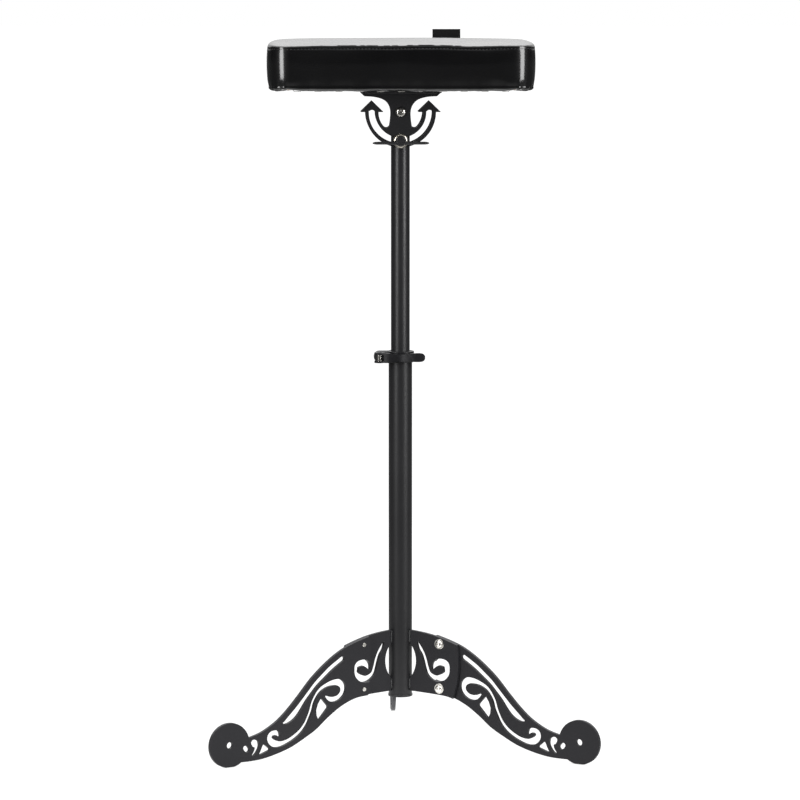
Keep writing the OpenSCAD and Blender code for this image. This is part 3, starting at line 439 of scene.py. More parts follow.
def rebuilt(work, name, finish):
    """A piece from a working copy, which is used up."""
    work.verts.ensure_lookup_table()
    points = [v.co.copy() for v in work.verts]
    faces = [[v.index for v in f.verts] for f in work.faces]
    work.free()
    return build(name, points, faces, finish, SHARP_ANGLE)


def edged(node, width):
    """A copy of a node whose sharp edges are rounded over by width millimetres."""
    finish = NODE_FINISH[node]
    obj = rebuilt(flattened(node), node + "_edged", finish)
    soften = obj.modifiers.new("edges", "BEVEL")
    soften.width = width * MM
    soften.segments = 2
    soften.limit_method = "ANGLE"
    soften.angle_limit = math.radians(SHARP_ANGLE)
    soften.harden_normals = True
    soften.use_clamp_overlap = True
    return settle(obj, finish, node)


def rings_mesh(rings, cap_start=True, cap_end=True):
    """Points and faces of a tube through rings with equal numbers of points."""
    count = len(rings[0])
    points = [p for ring in rings for p in ring]
    faces = []
    for i in range(len(rings) - 1):
        for k in range(count):
            n = (k + 1) % count
            faces.append((i * count + k, i * count + n, (i + 1) * count + n, (i + 1) * count + k))
    if cap_start:
        faces.append(tuple(range(count - 1, -1, -1)))
    if cap_end:
        faces.append(tuple((len(rings) - 1) * count + k for k in range(count)))
    return points, faces


def joined(parts):
    points, faces = [], []
    for more_points, more_faces in parts:
        base = len(points)
        points += list(more_points)
        faces += [tuple(base + i for i in f) for f in more_faces]
    return points, faces


def moved(part, matrix):
    points, faces = part
    flip = matrix.determinant() < 0
    return [matrix @ Vector(p) for p in points], [tuple(reversed(f)) if flip else f for f in faces]


# Edges of the flat and turned pieces
for name in ("leg_right", "leg_back", "leg_left", "fin_right", "fin_back", "fin_left"):
    edged(name, 0.45)
for name in ("front_anchor", "rear_anchor", "mount_plate"):
    edged(name, 0.4)
for name, width in (("clamp_collar", 0.8), ("clamp_lever", 0.9), ("bottom_cap", 0.7),
                    ("pole_saddles", 0.4), ("cam_washer", 0.4), ("cam_pin", 0.4)):
    edged(name, width)


# Base board: a copy whose lower outer rim is rounded over, so that the cover folds round it
BOARD_RIM_ROUND = 5.0
BOARD_TUCK = 2.5


def base_board():
    work = flattened("base_board")
    low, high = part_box("base_board")
    rim = [e for e in work.edges if all(v.co.z < low.z + 1e-5 and max(
        abs(v.co.x) / high.x, abs(v.co.y) / high.y) > 0.9 for v in e.verts)]
    for v in work.verts:
        for axis, reach in ((0, high.x), (1, high.y)):
            if abs(v.co[axis]) > reach * 0.8:
                v.co[axis] -= math.copysign(BOARD_TUCK * MM, v.co[axis])
        if abs(v.co.x) > high.x * 0.8 and abs(v.co.y) > high.y * 0.6:
            v.co.x -= math.copysign(BOARD_TUCK * MM, v.co.x)
            v.co.y -= math.copysign(BOARD_TUCK * MM, v.co.y)
    bmesh.ops.bevel(work, geom=rim, offset=BOARD_RIM_ROUND * MM, segments=4, affect="EDGES",
                    profile=0.5)
    settle(rebuilt(work, "base_board_rounded", "plywood"), "plywood", "base_board")


base_board()


# Turned pieces: rings about +Z, each a radius that may change round the ring
def circle(r):
    return lambda turn: r


def hexagon(across, most=1e9):
    """A hexagon of that size across flats, whose corners a cone has cut at the radius most."""
    half = across / 2
    sixth = math.pi / 3
    return lambda turn: min(most, half / math.cos((turn % sixth) - sixth / 2))


def lathe(stations, steps=48, cap_start=True, cap_end=True):
    """stations are (radius function in mm, height in mm); the part's axis is +Z."""
    rings = []
    for radius, z in stations:
        rings.append([Vector((radius(2 * math.pi * k / steps) * math.cos(2 * math.pi * k / steps),
                              radius(2 * math.pi * k / steps) * math.sin(2 * math.pi * k / steps),
                              z)) * MM for k in range(steps)])
    return rings_mesh(rings, cap_start, cap_end)


def thread_stations(r, pitch, z_from, z_to, depth=0.55):
    """A helical thread between two heights."""
    def at(z):
        def radius(turn):
            phase = (z / pitch - turn / (2 * math.pi)) % 1.0
            return r - depth * pitch * (1 - abs(2 * phase - 1)) * 0.8
        return radius
    count = max(2, int(abs(z_to - z_from) / pitch * 6))
    return [(at(z_from + (z_to - z_from) * k / count), z_from + (z_to - z_from) * k / count)
            for k in range(count + 1)]


def socket_head(head_d, head_h, flange_d, flange_t, socket, depth):
    """A button head above z = 0, with a flange and a hexagon socket: rings from the rim up."""
    r, rise = head_d / 2, head_h
    stations = [(circle(flange_d / 2 - 0.25), 0), (circle(flange_d / 2), 0.25),
                (circle(flange_d / 2), flange_t - 0.3), (circle(flange_d / 2 - 0.3), flange_t)]
    if flange_d <= head_d:
        stations = [(circle(r - 0.25), 0), (circle(r), 0.25)]
    for share in (0.0, 0.3, 0.55, 0.75, 0.9, 1.0):
        turn = share * math.pi / 2
        stations.append((circle(socket * 0.66 + (r - socket * 0.66) * math.cos(turn)),
                         flange_t + rise * math.sin(turn)))
    top = flange_t + rise
    stations += [(hexagon(socket + 0.5), top - 0.02), (hexagon(socket), top - 0.3),
                 (hexagon(socket), top - depth), (circle(socket * 0.25), top - depth - 0.5)]
    return stations


def pointing(way, place):
    """Turns +Z onto way and moves the origin to place, in mm."""
    turn = Vector((0, 0, 1)).rotation_difference(Vector(way)).to_matrix().to_4x4()
    return Matrix.Translation(Vector(place) * MM) @ turn


def millimetres(v):
    return Vector(v) / MM


# Pivot and tilt hardware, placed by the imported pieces
def yoke_hardware():
    bolt_low, bolt_high = (millimetres(c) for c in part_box("pivot_bolt"))
    z = (bolt_low.z + bolt_high.z) / 2
    front_y = millimetres(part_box("front_anchor")[0]).y
    head_h = front_y - bolt_low.y
    length = bolt_high.y - front_y
    head = socket_head(14, head_h - 0.6, 14, 0.6, 5, 2.4)
    body = lathe([(circle(3.2), -length), (circle(4), -length + 0.8)]
                 + thread_stations(4, 1.25, -length + 0.8, -length + 11)
                 + [(circle(4), -length + 11.6), (circle(4), 0)] + head)
    bolt = build("pivot_bolt_detail", *moved(body, pointing((0, -1, 0), (0, front_y - 0.05, z))),
                 "zinc", 35)
    settle(bolt, "zinc", "pivot_bolt")
    for node, flange in (("pivot_nut", 0), ("tilt_nut", 17.8)):
        low, high = (millimetres(c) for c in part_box(node))
        part = nut(13, high.y - low.y, 4.05, flange, 1.5)
        where = (0, low.y, (low.z + high.z) / 2)
        obj = build(node + "_detail", *moved(part, pointing((0, 1, 0), where)), "zinc", 30)
        settle(obj, "zinc", node)


def nut(across, height, bore, flange_d=0, flange_t=0):
    """A hexagon nut about +Z from z = 0, chamfered on both faces, with its bore."""
    corner = across / math.sqrt(3)
    outside = []
    start = 0.0
    if flange_d:
        outside += [(circle(flange_d / 2 - 0.2), 0), (circle(flange_d / 2), 0.2),
                    (circle(flange_d / 2), flange_t * 0.6), (circle(across / 2 + 0.9), flange_t)]
        start = flange_t
    else:
        outside += [(circle(across / 2 - 0.1), 0)]
    outside += [(hexagon(across, corner * 0.93), start + 0.35), (hexagon(across), start + 0.9),
                (hexagon(across), height - 0.9), (hexagon(across, corner * 0.93), height - 0.35),
                (circle(across / 2 - 0.1), height)]
    inside = [(circle(bore + 0.45), height), (circle(bore), height - 0.45), (circle(bore), 0.45),
              (circle(bore + 0.45), 0)]
    stations = outside + inside
    points, faces = lathe(stations, 72, False, False)
    count, last = 72, len(stations) - 1
    for k in range(count):
        n = (k + 1) % count
        faces.append((last * count + k, last * count + n, n, k))
    return points, faces


yoke_hardware()


# Leg bolts: flanged button heads on the fins, threads that end at the leg plates' backs
LEG_ANGLES = (-30, 90, 210)
FIN_HALF = 2.5


def leg_bolts():
    work = welded("leg_bolts")
    groups, seen = [], set()
    for v in work.verts:
        if v in seen:
            continue
        group, queue = [], [v]
        seen.add(v)
        while queue:
            here = queue.pop()
            group.append(here.co.copy())
            for e in here.link_edges:
                other = e.other_vert(here)
                if other not in seen:
                    seen.add(other)
                    queue.append(other)
        groups.append(group)
    work.free()
    parts = []
    for group in groups:
        centre = sum(group, Vector()) / len(group)
        angle = min((math.radians(a) for a in LEG_ANGLES),
                    key=lambda a: -centre.to_2d().normalized().dot(
                        Vector((math.cos(a), math.sin(a)))))
        along = Vector((math.cos(angle), math.sin(angle), 0))
        normal = Vector((-math.sin(angle), math.cos(angle), 0))
        u = np.mean([p.dot(along) for p in group]) / MM
        z = (min(p.z for p in group) + max(p.z for p in group)) / 2 / MM
        sides = [p.dot(normal) / MM for p in group]
        head_side, end_side = min(sides), max(sides)
        seat = -FIN_HALF
        head = socket_head(10.4, seat - head_side - 1.0, 13.8, 1.0, 4, 1.8)
        length = end_side - seat
        stations = ([(circle(2.4), -length), (circle(3), -length + 0.6)]
                    + thread_stations(3, 1.0, -length + 0.6, -length + 5)
                    + [(circle(3), -length + 5.4), (circle(3), 0)] + head)
        place = along * u + normal * seat
        parts.append(moved(lathe(stations), pointing(-normal, (place.x, place.y, z))))
    obj = build("leg_bolts_detail", *joined(parts), "zinc", 35)
    settle(obj, "zinc", "leg_bolts")


leg_bolts()


# Clamp: the knurled nut on the skewer's threaded end
def clamp_hardware():
    low, high = (millimetres(c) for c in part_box("clamp_nut"))
    axis_x, axis_z = (low.x + high.x) / 2, (low.z + high.z) / 2
    length = high.y - low.y

    def knurl(r):
        return lambda turn: r - 0.55 * max(0.0, math.cos(16 * turn)) ** 2
    stations = [(circle(3.2), 0), (knurl(5.7), 0), (knurl(6.5), 0.7), (knurl(6.5), length - 0.9),
                (knurl(5.6), length), (circle(3.4), length), (circle(2.2), length)]
    obj = build("clamp_nut_detail",
                *moved(lathe(stations, 96), pointing((0, 1, 0), (axis_x, low.y, axis_z))),
                "zinc", 40)
    settle(obj, "zinc", "clamp_nut")


clamp_hardware()


# Tee handle: a hub with a ridged end and two leaf wings, and the dished washer behind it
TEE_DROP = 2.6


def tee():
    low, high = (millimetres(c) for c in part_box("tee_handle"))
    z = (millimetres(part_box("tee_screw")[0]).z + millimetres(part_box("tee_screw")[1]).z) / 2
    hub_r, half = 7.0, high.x
    back = high.y
    front = low.y
    length = back - front

    def ribbed(r, deep):
        return lambda turn: r - deep * (0.5 + 0.5 * math.cos(12 * turn))
    stations = [(circle(hub_r - 0.6), 0), (circle(hub_r), 0.6), (circle(hub_r), length - 5),
                (ribbed(hub_r, 0.3), length - 4.4), (ribbed(hub_r, 0.45), length - 1.4),
                (circle(hub_r - 1.0), length - 0.3), (circle(hub_r - 1.5), length),
                (circle(hub_r - 2.2), length), (circle(hub_r - 2.6), length - 0.7),
                (circle(hub_r - 4.0), length - 0.8), (circle(hub_r - 4.6), length - 0.2),
                (circle(1.0), length - 0.1)]
    hub = moved(lathe(stations, 60), pointing((0, -1, 0), (0, back, z)))
    parts = [hub]
    wing_y = front + 1 + 4
    for side in (-1, 1):
        rings = []
        for share in (0.0, 0.16, 0.28, 0.4, 0.55, 0.7, 0.84, 0.93, 0.98, 1.0):
            thick = 4.0 + 2.6 * max(0.0, 1 - share / 0.42) ** 1.5
            deep = 8.0 - 1.5 * share
            taper = math.sqrt(max(0.0, 1 - max(0.0, (share - 0.84) / 0.16) ** 2))
            taper = max(taper, 0.12)
            ring = []
            for k in range(20):
                turn = 2 * math.pi * k / 20
                c, s = math.cos(turn), math.sin(turn)
                ring.append(Vector((side * share * half,
                                    wing_y + deep / 2 * taper * math.copysign(abs(c) ** 0.8, c),
                                    z - TEE_DROP + thick / 2 * taper
                                    * math.copysign(abs(s) ** 0.9, s))) * MM)
            rings.append(ring if side > 0 else ring[::-1])
        parts.append(rings_mesh(rings))
    obj = build("tee_handle_detail", *joined(parts), "plastic", 40)
    settle(obj, "plastic", "tee_handle")
    low, high = (millimetres(c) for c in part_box("tee_washer"))
    dish = [(circle(4.1), 0), (circle(9.6), 0), (circle(10), 0.4), (circle(10), 2.6),
            (circle(9.75), 2.9), (circle(9.5), 2.8), (circle(8.4), 1.5), (circle(7.4), 0.9),
            (circle(7.1), 0.9), (circle(7.0), 3.0), (circle(4.1), 3.0)]
    washer = build("tee_washer_detail",
                   *moved(lathe(dish, 64), pointing((0, -1, 0), (0, high.y, z))), "zinc", 50)
    settle(washer, "zinc", "tee_washer")


tee()


# Weld beads: a fillet bead with ripples along a corner
TUBE_R = 15.9
WELD_LANDS = ((0.5, 0.586), (0.893, 0.995))
ANCHOR_FACE = 20


def bead(start, end, out_a, out_b, leg, pitch=1.6):
    """A bead from start to end in mm, lying between the directions out_a and out_b."""
    start, end = Vector(start), Vector(end)
    way = (end - start).normalized()
    length = (end - start).length
    count = max(8, int(length / pitch * 5))
    rings = []
    for i in range(count + 1):
        at = length * i / count
        ends = min(1.0, math.sqrt(max(0.0, min(at, length - at)) / (leg * 0.8)) + 0.15)
        ripple = 1 + 0.1 * math.sin(2 * math.pi * at / pitch) + 0.06 * noise_field.noise(
            Vector((at * 0.4, start.x, start.z)))
        size = leg * ends * ripple
        ring = []
        for k in range(10):
            turn = math.pi / 2 * k / 9
            lag = way * (0.45 * math.sin(2 * turn))
            ring.append((start + way * at + lag + (Vector(out_a) * math.cos(turn)
                         + Vector(out_b) * math.sin(turn)) * size) * MM)
        ring.append((start + way * at - (Vector(out_a) + Vector(out_b)) * 0.5) * MM)
        rings.append(ring)
    return rings_mesh(rings)


def fin_welds():
    arm_h = millimetres(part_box("fin_welds")[1]).z / WELD_LANDS[-1][1]
    parts = []
    root = math.sqrt(TUBE_R ** 2 - FIN_HALF ** 2)
    for angle in LEG_ANGLES:
        turn = math.radians(angle)
        along = Vector((math.cos(turn), math.sin(turn), 0))
        normal = Vector((-math.sin(turn), math.cos(turn), 0))
        for land in WELD_LANDS:
            for side in (-1, 1):
                foot = along * root + normal * side * FIN_HALF
                start = foot + Vector((0, 0, land[0] * arm_h))
                end = foot + Vector((0, 0, land[1] * arm_h))
                parts.append(bead(start, end, along, normal * side, 1.6))
    obj = build("fin_welds_bead", *joined(parts), "tube", 60)
    settle(obj, "tube", "fin_welds")


def anchor_welds():
    low, high = (millimetres(c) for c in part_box("anchor_welds"))
    parts = []
    for side in (-1, 1):
        foot = Vector((0, side * ANCHOR_FACE, high.z))
        parts.append(bead(foot + Vector((low.x, 0, 0)), foot + Vector((high.x, 0, 0)),
                          Vector((0, side, 0)), Vector((0, 0, -1)), 2.2))
    obj = build("anchor_welds_bead", *joined(parts), "plate", 60)
    settle(obj, "plate", "anchor_welds")


fin_welds()
anchor_welds()


# Cushion: a crowned top and a boxing joined at a seam, turned under the board. Sizes in mm;
# CROWN is the solid's, and the cloth's own swell adds the rest to CROWN_RISE.
CORNER_R = 31.0
CROWN = 10.0
CROWN_RISE = 7.0
SEAM_INSET = 1.2
FOLD_R = 5.5
FOLD_IN = 8.5
RIM_W = 23.0
SLAB_EDGE = 26.0
SLAB_BEND = 1.5
END_EDGE = 13.0
END_BEND = 3.0
SIDE_TAPER = 1.6
FOLD_START = -0.4
COVER_PROUD = 1.8
CORNER_FADE = 14
PLEATS = 4.6
STITCH_RING = 6


def pad_sizes():
    low, high = (millimetres(c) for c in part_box("pad_cover"))
    return high.x + COVER_PROUD, high.y, low.z, high.z - CROWN


def plan_point(u, v, half_w, half_d, r):
    """A point of a rounded rectangle from u and v in -1..1; grid corners go onto the arcs."""
    x, y = u * half_w, v * half_d
    cx, cy = half_w - r, half_d - r
    if abs(x) > cx and abs(y) > cy:
        a, b = (abs(x) - cx) / r, (abs(y) - cy) / r
        x = math.copysign(cx + r * a * math.sqrt(1 - b * b / 2), x)
        y = math.copysign(cy + r * b * math.sqrt(1 - a * a / 2), y)
    return x, y


def edge_rise(x, y, w, d):
    """How far the crown has risen there, 0 at the border to 1: the ends rise more steeply."""
    ox = max(abs(x) - (w - CORNER_R), 0.0)
    oy = max(abs(y) - (d - CORNER_R), 0.0)
    if ox > 0 and oy > 0:
        away = math.hypot(ox, oy)
        ends = (ox / away) ** 2
        edge = END_EDGE * ends + SLAB_EDGE * (1 - ends)
        share = min(1.0, max(0.0, CORNER_R - away) / edge)
        return 1 - (1 - share) ** (SLAB_BEND + (END_BEND - SLAB_BEND) * ends)
    along = min(1.0, max(0.0, w - abs(x)) / END_EDGE)
    across = min(1.0, max(0.0, d - abs(y)) / SLAB_EDGE)
    return min(1 - (1 - along) ** END_BEND, 1 - (1 - across) ** SLAB_BEND)


def border_distance(x, y, w, d):
    """How far a point of the rounded rectangle lies from its border."""
    ox = max(abs(x) - (w - CORNER_R), 0.0)
    oy = max(abs(y) - (d - CORNER_R), 0.0)
    if ox > 0 and oy > 0:
        return max(0.0, CORNER_R - math.hypot(ox, oy))
    return max(0.0, min(w - abs(x), d - abs(y)))


def graded(half, near, step):
    """Places from -half to half: near the ends at the distances in near, then every step."""
    start = near[-1]
    count = max(1, round((2 * half - 2 * start) / step))
    inner = [-half + start + (2 * half - 2 * start) * k / count for k in range(1, count)]
    ends = [-half + d for d in near]
    return ends + inner + [-e for e in reversed(ends)]


def pad_grid(near, step, side_places):
    """Rings and grid of the cover. Gives points (mm), faces and the rings from the seam down."""
    half_w, half_d, foot_z, seam_z = pad_sizes()
    w, d = half_w - SEAM_INSET, half_d - SEAM_INSET
    xs, ys = graded(w, near, step), graded(d, near, step)
    nx, ny = len(xs), len(ys)
    points, faces = [], []
    for y in ys:
        for x in xs:
            px, py = plan_point(x / w, y / d, w, d, CORNER_R)
            dome = max(0.0, (1 - (abs(x) / w) ** 2) * (1 - (abs(y) / d) ** 2))
            slab = edge_rise(px, py, w, d)
            front = 1 - (abs(py) / d) ** 3
            lift = slab * (0.3 + 0.7 * max(0.0, front) ** 0.8)
            points.append([px, py, seam_z + CROWN_RISE * (0.9 * lift + 0.1 * dome)])
    for j in range(ny - 1):
        for i in range(nx - 1):
            faces.append((j * nx + i, j * nx + i + 1, (j + 1) * nx + i + 1, (j + 1) * nx + i))
    border = ([i for i in range(nx)] + [j * nx + nx - 1 for j in range(1, ny)]
              + [(ny - 1) * nx + i for i in range(nx - 2, -1, -1)]
              + [j * nx for j in range(ny - 2, 0, -1)])
    rings = [border]
    height = seam_z - foot_z
    for kind, share in side_places:
        ring = []
        for index in border:
            x, y, _ = points[index]
            cx = max(-(w - CORNER_R), min(w - CORNER_R, x))
            cy = max(-(d - CORNER_R), min(d - CORNER_R, y))
            out = Vector((x - cx, y - cy))
            out = out.normalized() if out.length > 1e-6 else Vector((0, 0))
            along = 1 - (x / w) ** 2 if abs(out.y) > 0.7 else 1 - (y / d) ** 2
            drawn = 2.0 * max(0.0, along)
            if kind == "side":
                down = share * (height - FOLD_R)
                bulge = (SEAM_INSET + 0.6) * math.sin(math.pi * min(1.0, share * 0.9 + 0.05)) ** 0.7
                grow = bulge - drawn * (1 - share) * 0.6 - SIDE_TAPER * share ** 2
                z = seam_z - down
            elif kind == "fold":
                turn = share * math.pi / 2
                grow = -FOLD_IN * (1 - math.cos(turn)) + FOLD_START
                z = foot_z + FOLD_R * (1 - math.sin(turn))
            else:
                grow = FOLD_START - FOLD_IN - share * (RIM_W - FOLD_IN)
                z = foot_z
            ring.append(len(points))
            points.append([x + out.x * grow, y + out.y * grow, z])
        rings.append(ring)
    count = len(border)
    for a, b in zip(rings, rings[1:]):
        for k in range(count):
            n = (k + 1) % count
            faces.append((a[n], a[k], b[k], b[n]))
    return points, faces, rings


def swell(points, faces, pinned, pressure=4.0, cap=5.0):
    """Cloth under pressure from inside. Gives how far each point moves, in mm."""
    obj = build("swelling", [Vector(p) * MM for p in points], faces, "vinyl")
    hold = obj.vertex_groups.new(name="hold")
    for index, weight in pinned.items():
        hold.add([index], weight, "REPLACE")
    cloth = obj.modifiers.new("cloth", "CLOTH")
    settings = cloth.settings
    settings.quality = 6
    settings.mass = 0.3
    settings.tension_stiffness = 12
    settings.compression_stiffness = 12
    settings.shear_stiffness = 6
    settings.bending_stiffness = 0.6
    settings.use_pressure = True
    settings.uniform_pressure_force = pressure
    settings.vertex_group_mass = "hold"
    settings.effector_weights.gravity = 0
    cloth.point_cache.frame_start = 1
    cloth.point_cache.frame_end = 20
    scene = bpy.context.scene
    for step in range(1, 21):
        scene.frame_set(step)
    shown = obj.evaluated_get(bpy.context.evaluated_depsgraph_get())
    after = np.array([v.co for v in shown.data.vertices]) / MM
    scene.frame_set(1)
    bpy.data.objects.remove(obj)
    shift = after - np.array(points)
    size = np.linalg.norm(shift, axis=1, keepdims=True)
    return shift * np.minimum(1.0, cap / np.maximum(size, 1e-9))


def corner_of(x, y, w, d):
    """Angle round the nearest corner in 0..1, and how far into the corner the point lies."""
    ax, ay = abs(x) - (w - CORNER_R), abs(y) - (d - CORNER_R)
    turn = math.atan2(max(ay, 0.0), max(ax, 0.0)) / (math.pi / 2)
    return turn, max(0.0, min(1.0, (min(ax, ay) + CORNER_FADE) / CORNER_FADE))


def cushion():
    _, _, foot_z, seam_z = pad_sizes()
    coarse_side = ([("side", k / 12) for k in range(1, 13)] + [("fold", 0.5), ("fold", 1.0)]
                   + [("rim", k / 4) for k in range(1, 5)])
    near = (0, 0.5, 1.0, 1.7, 2.6, 3.8, 5.4, 7.5)
    height = seam_z - foot_z - FOLD_R
    close = [d / height for d in (0.5, 1.0, 1.7, 2.6, 3.4, 4.2, 5.2, 6.6)]
    fine_side = ([("side", s) for s in close]
                 + [("side", close[-1] + (1 - close[-1]) * k / 22) for k in range(1, 23)]
                 + [("fold", k / 6) for k in range(1, 7)] + [("rim", k / 9) for k in range(1, 10)])
    points, faces, rings = pad_grid(near, 2.2, fine_side)
    points = np.array(points)
    rough, rough_faces, rough_rings = pad_grid((0, 4.0), 4.2, coarse_side)
    pinned = {i: 0.6 for i in rough_rings[0]}
    for ring in rough_rings[13:]:
        pinned.update({i: 1.0 for i in ring})
    shift = swell(rough, rough_faces, pinned)
    tree = KDTree(len(rough))
    for i, p in enumerate(rough):
        tree.insert(p, i)
    tree.balance()
    moved_by = np.zeros_like(points)
    for i, p in enumerate(points):
        total = 0.0
        for _, near_index, away in tree.find_n(p, 8):
            weight = math.exp(-(away / 3.5) ** 2) + 1e-6
            moved_by[i] += shift[near_index] * weight
            total += weight
        moved_by[i] /= total
    points += moved_by
    points, stitch_ring = dress_cover(points, faces, rings, fine_side)
    obj = build("pad_cover_vinyl", [Vector(p) * MM for p in points], faces, "vinyl", 180)
    shell = obj.modifiers.new("shell", "SOLIDIFY")
    shell.thickness = 1.0 * MM
    shell.offset = -1
    shell.use_even_offset = False
    settle(obj, "vinyl", "pad_cover", "foam_core")
    return stitch_ring


def dress_cover(points, faces, rings, side_places):
    """Seam valley, puckers, waves and corner pleats on the fine cover."""
    half_w, half_d, foot_z, seam_z = pad_sizes()
    w, d = half_w - SEAM_INSET, half_d - SEAM_INSET
    work = bmesh.new()
    for p in points:
        work.verts.new(p)
    work.verts.ensure_lookup_table()
    for f in faces:
        work.faces.new([work.verts[i] for i in f])
    work.normal_update()
    normals = np.array([v.normal for v in work.verts])
    work.free()
    distance = np.full(len(points), 99.0)
    top_count = min(rings[1])
    for i in range(top_count):
        distance[i] = border_distance(points[i][0], points[i][1], w, d)
    distance[rings[0]] = 0.0
    height = seam_z - foot_z - FOLD_R
    for ring, (kind, share) in zip(rings[1:], side_places):
        if kind == "side":
            distance[ring] = share * height
    out = points.copy()
    for i in range(len(points)):
        x, y, z = points[i]
        s = distance[i]
        lip = 0.15 * math.exp(-((s - 2.6) / 1.8) ** 2) if i < top_count else 0.0
        lips = lip - 0.6 * math.exp(-(s / 0.75) ** 2)
        flow = Vector((x * 0.02, y * 0.02, 3.1))
        pucker = noise_field.noise(Vector((x * 0.19, y * 0.19, 7.7))) * math.exp(-(s / 6) ** 2)
        stitch_dip = -0.35 * math.exp(-((s - 4.2) / 0.7) ** 2) if z < seam_z else 0.0
        push = lips + 0.3 * pucker + stitch_dip
        wave = noise_field.noise(flow) * math.exp(-(s / 16) ** 2)
        out[i] += normals[i] * push
        out[i][2] += 1.3 * wave
        soft = noise_field.noise(Vector((x * 0.011, y * 0.016, z * 0.02)))
        out[i] += normals[i] * soft * (0.9 if s > 8 else 0.2)
        low = max(0.0, 1 - (z - foot_z) / 16.0)
        if low > 0:
            turn, fade = corner_of(x, y, w, d)
            seed = noise_field.noise(Vector((math.copysign(5, x), math.copysign(9, y), 2.0)))
            phase = turn * PLEATS + seed
            tooth = phase % 1.0
            fold = (tooth ** 1.6) * 2 - 0.75 if tooth < 0.82 else (1 - tooth) / 0.18 * 2 - 0.9
            gather = fade * low ** 1.3
            out[i] -= normals[i] * 1.5 * fade * low ** 2
            out[i] += normals[i] * fold * 1.15 * gather
            ripple = noise_field.noise(Vector((x * 0.045, y * 0.045, 11.0)))
            fine = noise_field.noise(Vector((x * 0.16, y * 0.16, 4.0)))
            out[i] += normals[i] * low * (0.9 * ripple + 0.35 * fine)
    return out, [(out[i], normals[i]) for i in rings[STITCH_RING]]


# Stitches: a row of slanted thread loops just under the seam
STITCH_L = 3.4
STITCH_GAP = 1.3


def stitches(ring):
    path = [Vector(p) for p, _ in ring]
    outward = [Vector(n) for _, n in ring]
    count = len(path)
    lengths = [(path[(i + 1) % count] - path[i]).length for i in range(count)]
    total = sum(lengths)
    number = int(total / (STITCH_L + STITCH_GAP))
    pace = total / number

    def point_at(distance):
        run, i = distance % total, 0
        while run > lengths[i]:
            run -= lengths[i]
            i = (i + 1) % count
        share = run / max(lengths[i], 1e-9)
        nxt = (i + 1) % count
        return path[i].lerp(path[nxt], share), outward[i].lerp(outward[nxt], share).normalized()
    parts = []
    for k in range(number):
        a, normal = point_at(k * pace)
        b, _ = point_at(k * pace + STITCH_L)
        b = b + Vector((0, 0, 0.18))
        way = (b - a).normalized()
        side = way.cross(normal)
        rings = []
        for share in (0.0, 0.08, 0.25, 0.5, 0.75, 0.92, 1.0):
            arch = math.sin(math.pi * share)
            radius = 0.34 * (0.35 + 0.65 * min(1.0, arch * 1.8))
            centre = a.lerp(b, share) + normal * (0.28 * arch - 0.22)
            rings.append([(centre + (normal * math.cos(t) + side * math.sin(t)) * radius) * MM
                          for t in (2 * math.pi * q / 8 for q in range(8))])
        parts.append(rings_mesh(rings))
    obj = build("seam_stitches", *joined(parts), "thread", 80)
    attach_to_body(obj, "head")


stitches(cushion())


# Staples: rounded wire in the turned-under rim
def wire(path, r, steps=8):
    rings = []
    for i, p in enumerate(path):
        way = (path[min(i + 1, len(path) - 1)] - path[max(i - 1, 0)]).normalized()
        side = Vector((0, 1, 0))
        up = way.cross(side).normalized()
        rings.append([(p + (side * math.cos(t) + up * math.sin(t)) * r) * MM
                      for t in (2 * math.pi * q / steps for q in range(steps))])
    return rings_mesh(rings)


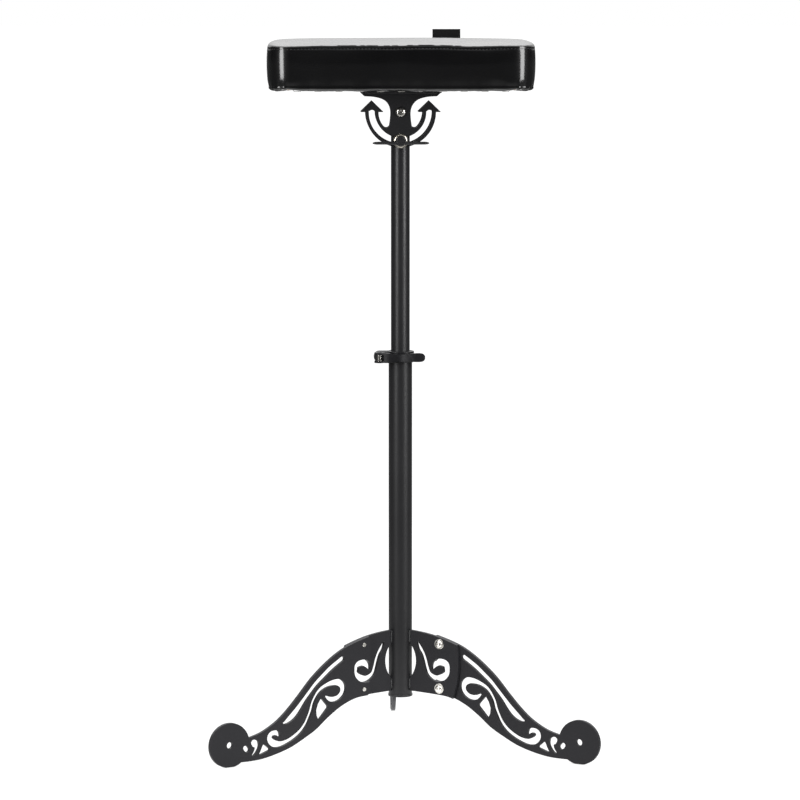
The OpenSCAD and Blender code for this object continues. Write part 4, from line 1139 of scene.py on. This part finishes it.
def staples():
    half_w, half_d, foot_z, _ = pad_sizes()
    half_w -= COVER_PROUD
    wire_r, half, leg, bend = 0.35, 4.65, 5.0, 0.7
    path = [Vector((-half, 0, leg)), Vector((-half, 0, bend))]
    for k in range(1, 4):
        turn = math.pi / 2 * k / 4
        path.append(Vector((-half + bend * (1 - math.cos(turn)), 0, bend * (1 - math.sin(turn)))))
    path += [Vector((-half + bend, 0, 0)), Vector((0, 0, 0))]
    path += [Vector((-p.x, 0, p.z)) for p in reversed(path[:-1])]
    line_w, line_d = 2 * half_w - RIM_W, 2 * half_d - RIM_W
    parts = []
    for count, length, off, turn in ((11, line_w, line_d, 0), (4, line_d, line_w, 90)):
        for k in range(1, count + 1):
            for side in (-1, 1):
                along = length * (k / (count + 1) - 0.5)
                skew = math.radians(turn + rng.uniform(-5, 5))
                place = (along, side * off / 2) if turn == 0 else (side * off / 2, along)
                matrix = Matrix.Translation(Vector((*place, foot_z - wire_r)) * MM)
                parts.append(moved(wire(path, wire_r), matrix @ Matrix.Rotation(skew, 4, "Z")))
    obj = build("cover_staples_wire", *joined(parts), "zinc", 60)
    settle(obj, "zinc", "cover_staples")


staples()


# Tag: a blank woven tape, folded double and sewn into the back seam
def tag():
    low, high = (millimetres(c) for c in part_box("seam_tag"))
    mid_y = (low.y + high.y) / 2
    gap, thick, top = 0.3, 0.42, high.z
    line = []
    rise = [low.z + (top - 1.2 - low.z) * k / 10 for k in range(11)]
    for z in rise:
        lift = ((z - low.z) / (top - low.z)) ** 2
        line.append((mid_y - gap - 0.12 * math.sin(lift * 3) + 0.7 * lift, z))
    for k in range(1, 8):
        turn = math.pi * k / 8
        line.append((mid_y + 0.7 - (gap + 0.25) * math.cos(turn), top - 1.2 + 1.2 * math.sin(turn)))
    for z in reversed(rise):
        lift = ((z - low.z) / (top - low.z)) ** 2
        line.append((mid_y + gap + 0.1 * math.sin(lift * 3) + 0.7 * lift, z))
    points, faces = [], []
    columns = 20
    count = len(line)
    for c in range(columns + 1):
        x = low.x + (high.x - low.x) * c / columns
        bow = 0.35 * math.sin(math.pi * c / columns) + 0.5 * (c / columns) ** 3
        for i, (y, z) in enumerate(line):
            lift = max(0.0, (z - low.z) / (top - low.z))
            points.append(Vector((x, y + bow * lift, z)) * MM)
    for c in range(columns):
        for i in range(count - 1):
            a = c * count + i
            faces.append((a, a + count, a + count + 1, a + 1))
    obj = build("seam_tag_tape", points, faces, "woven", 70)
    shell = obj.modifiers.new("shell", "SOLIDIFY")
    shell.thickness = thick * MM
    shell.offset = 0
    settle(obj, "woven", "seam_tag")


tag()
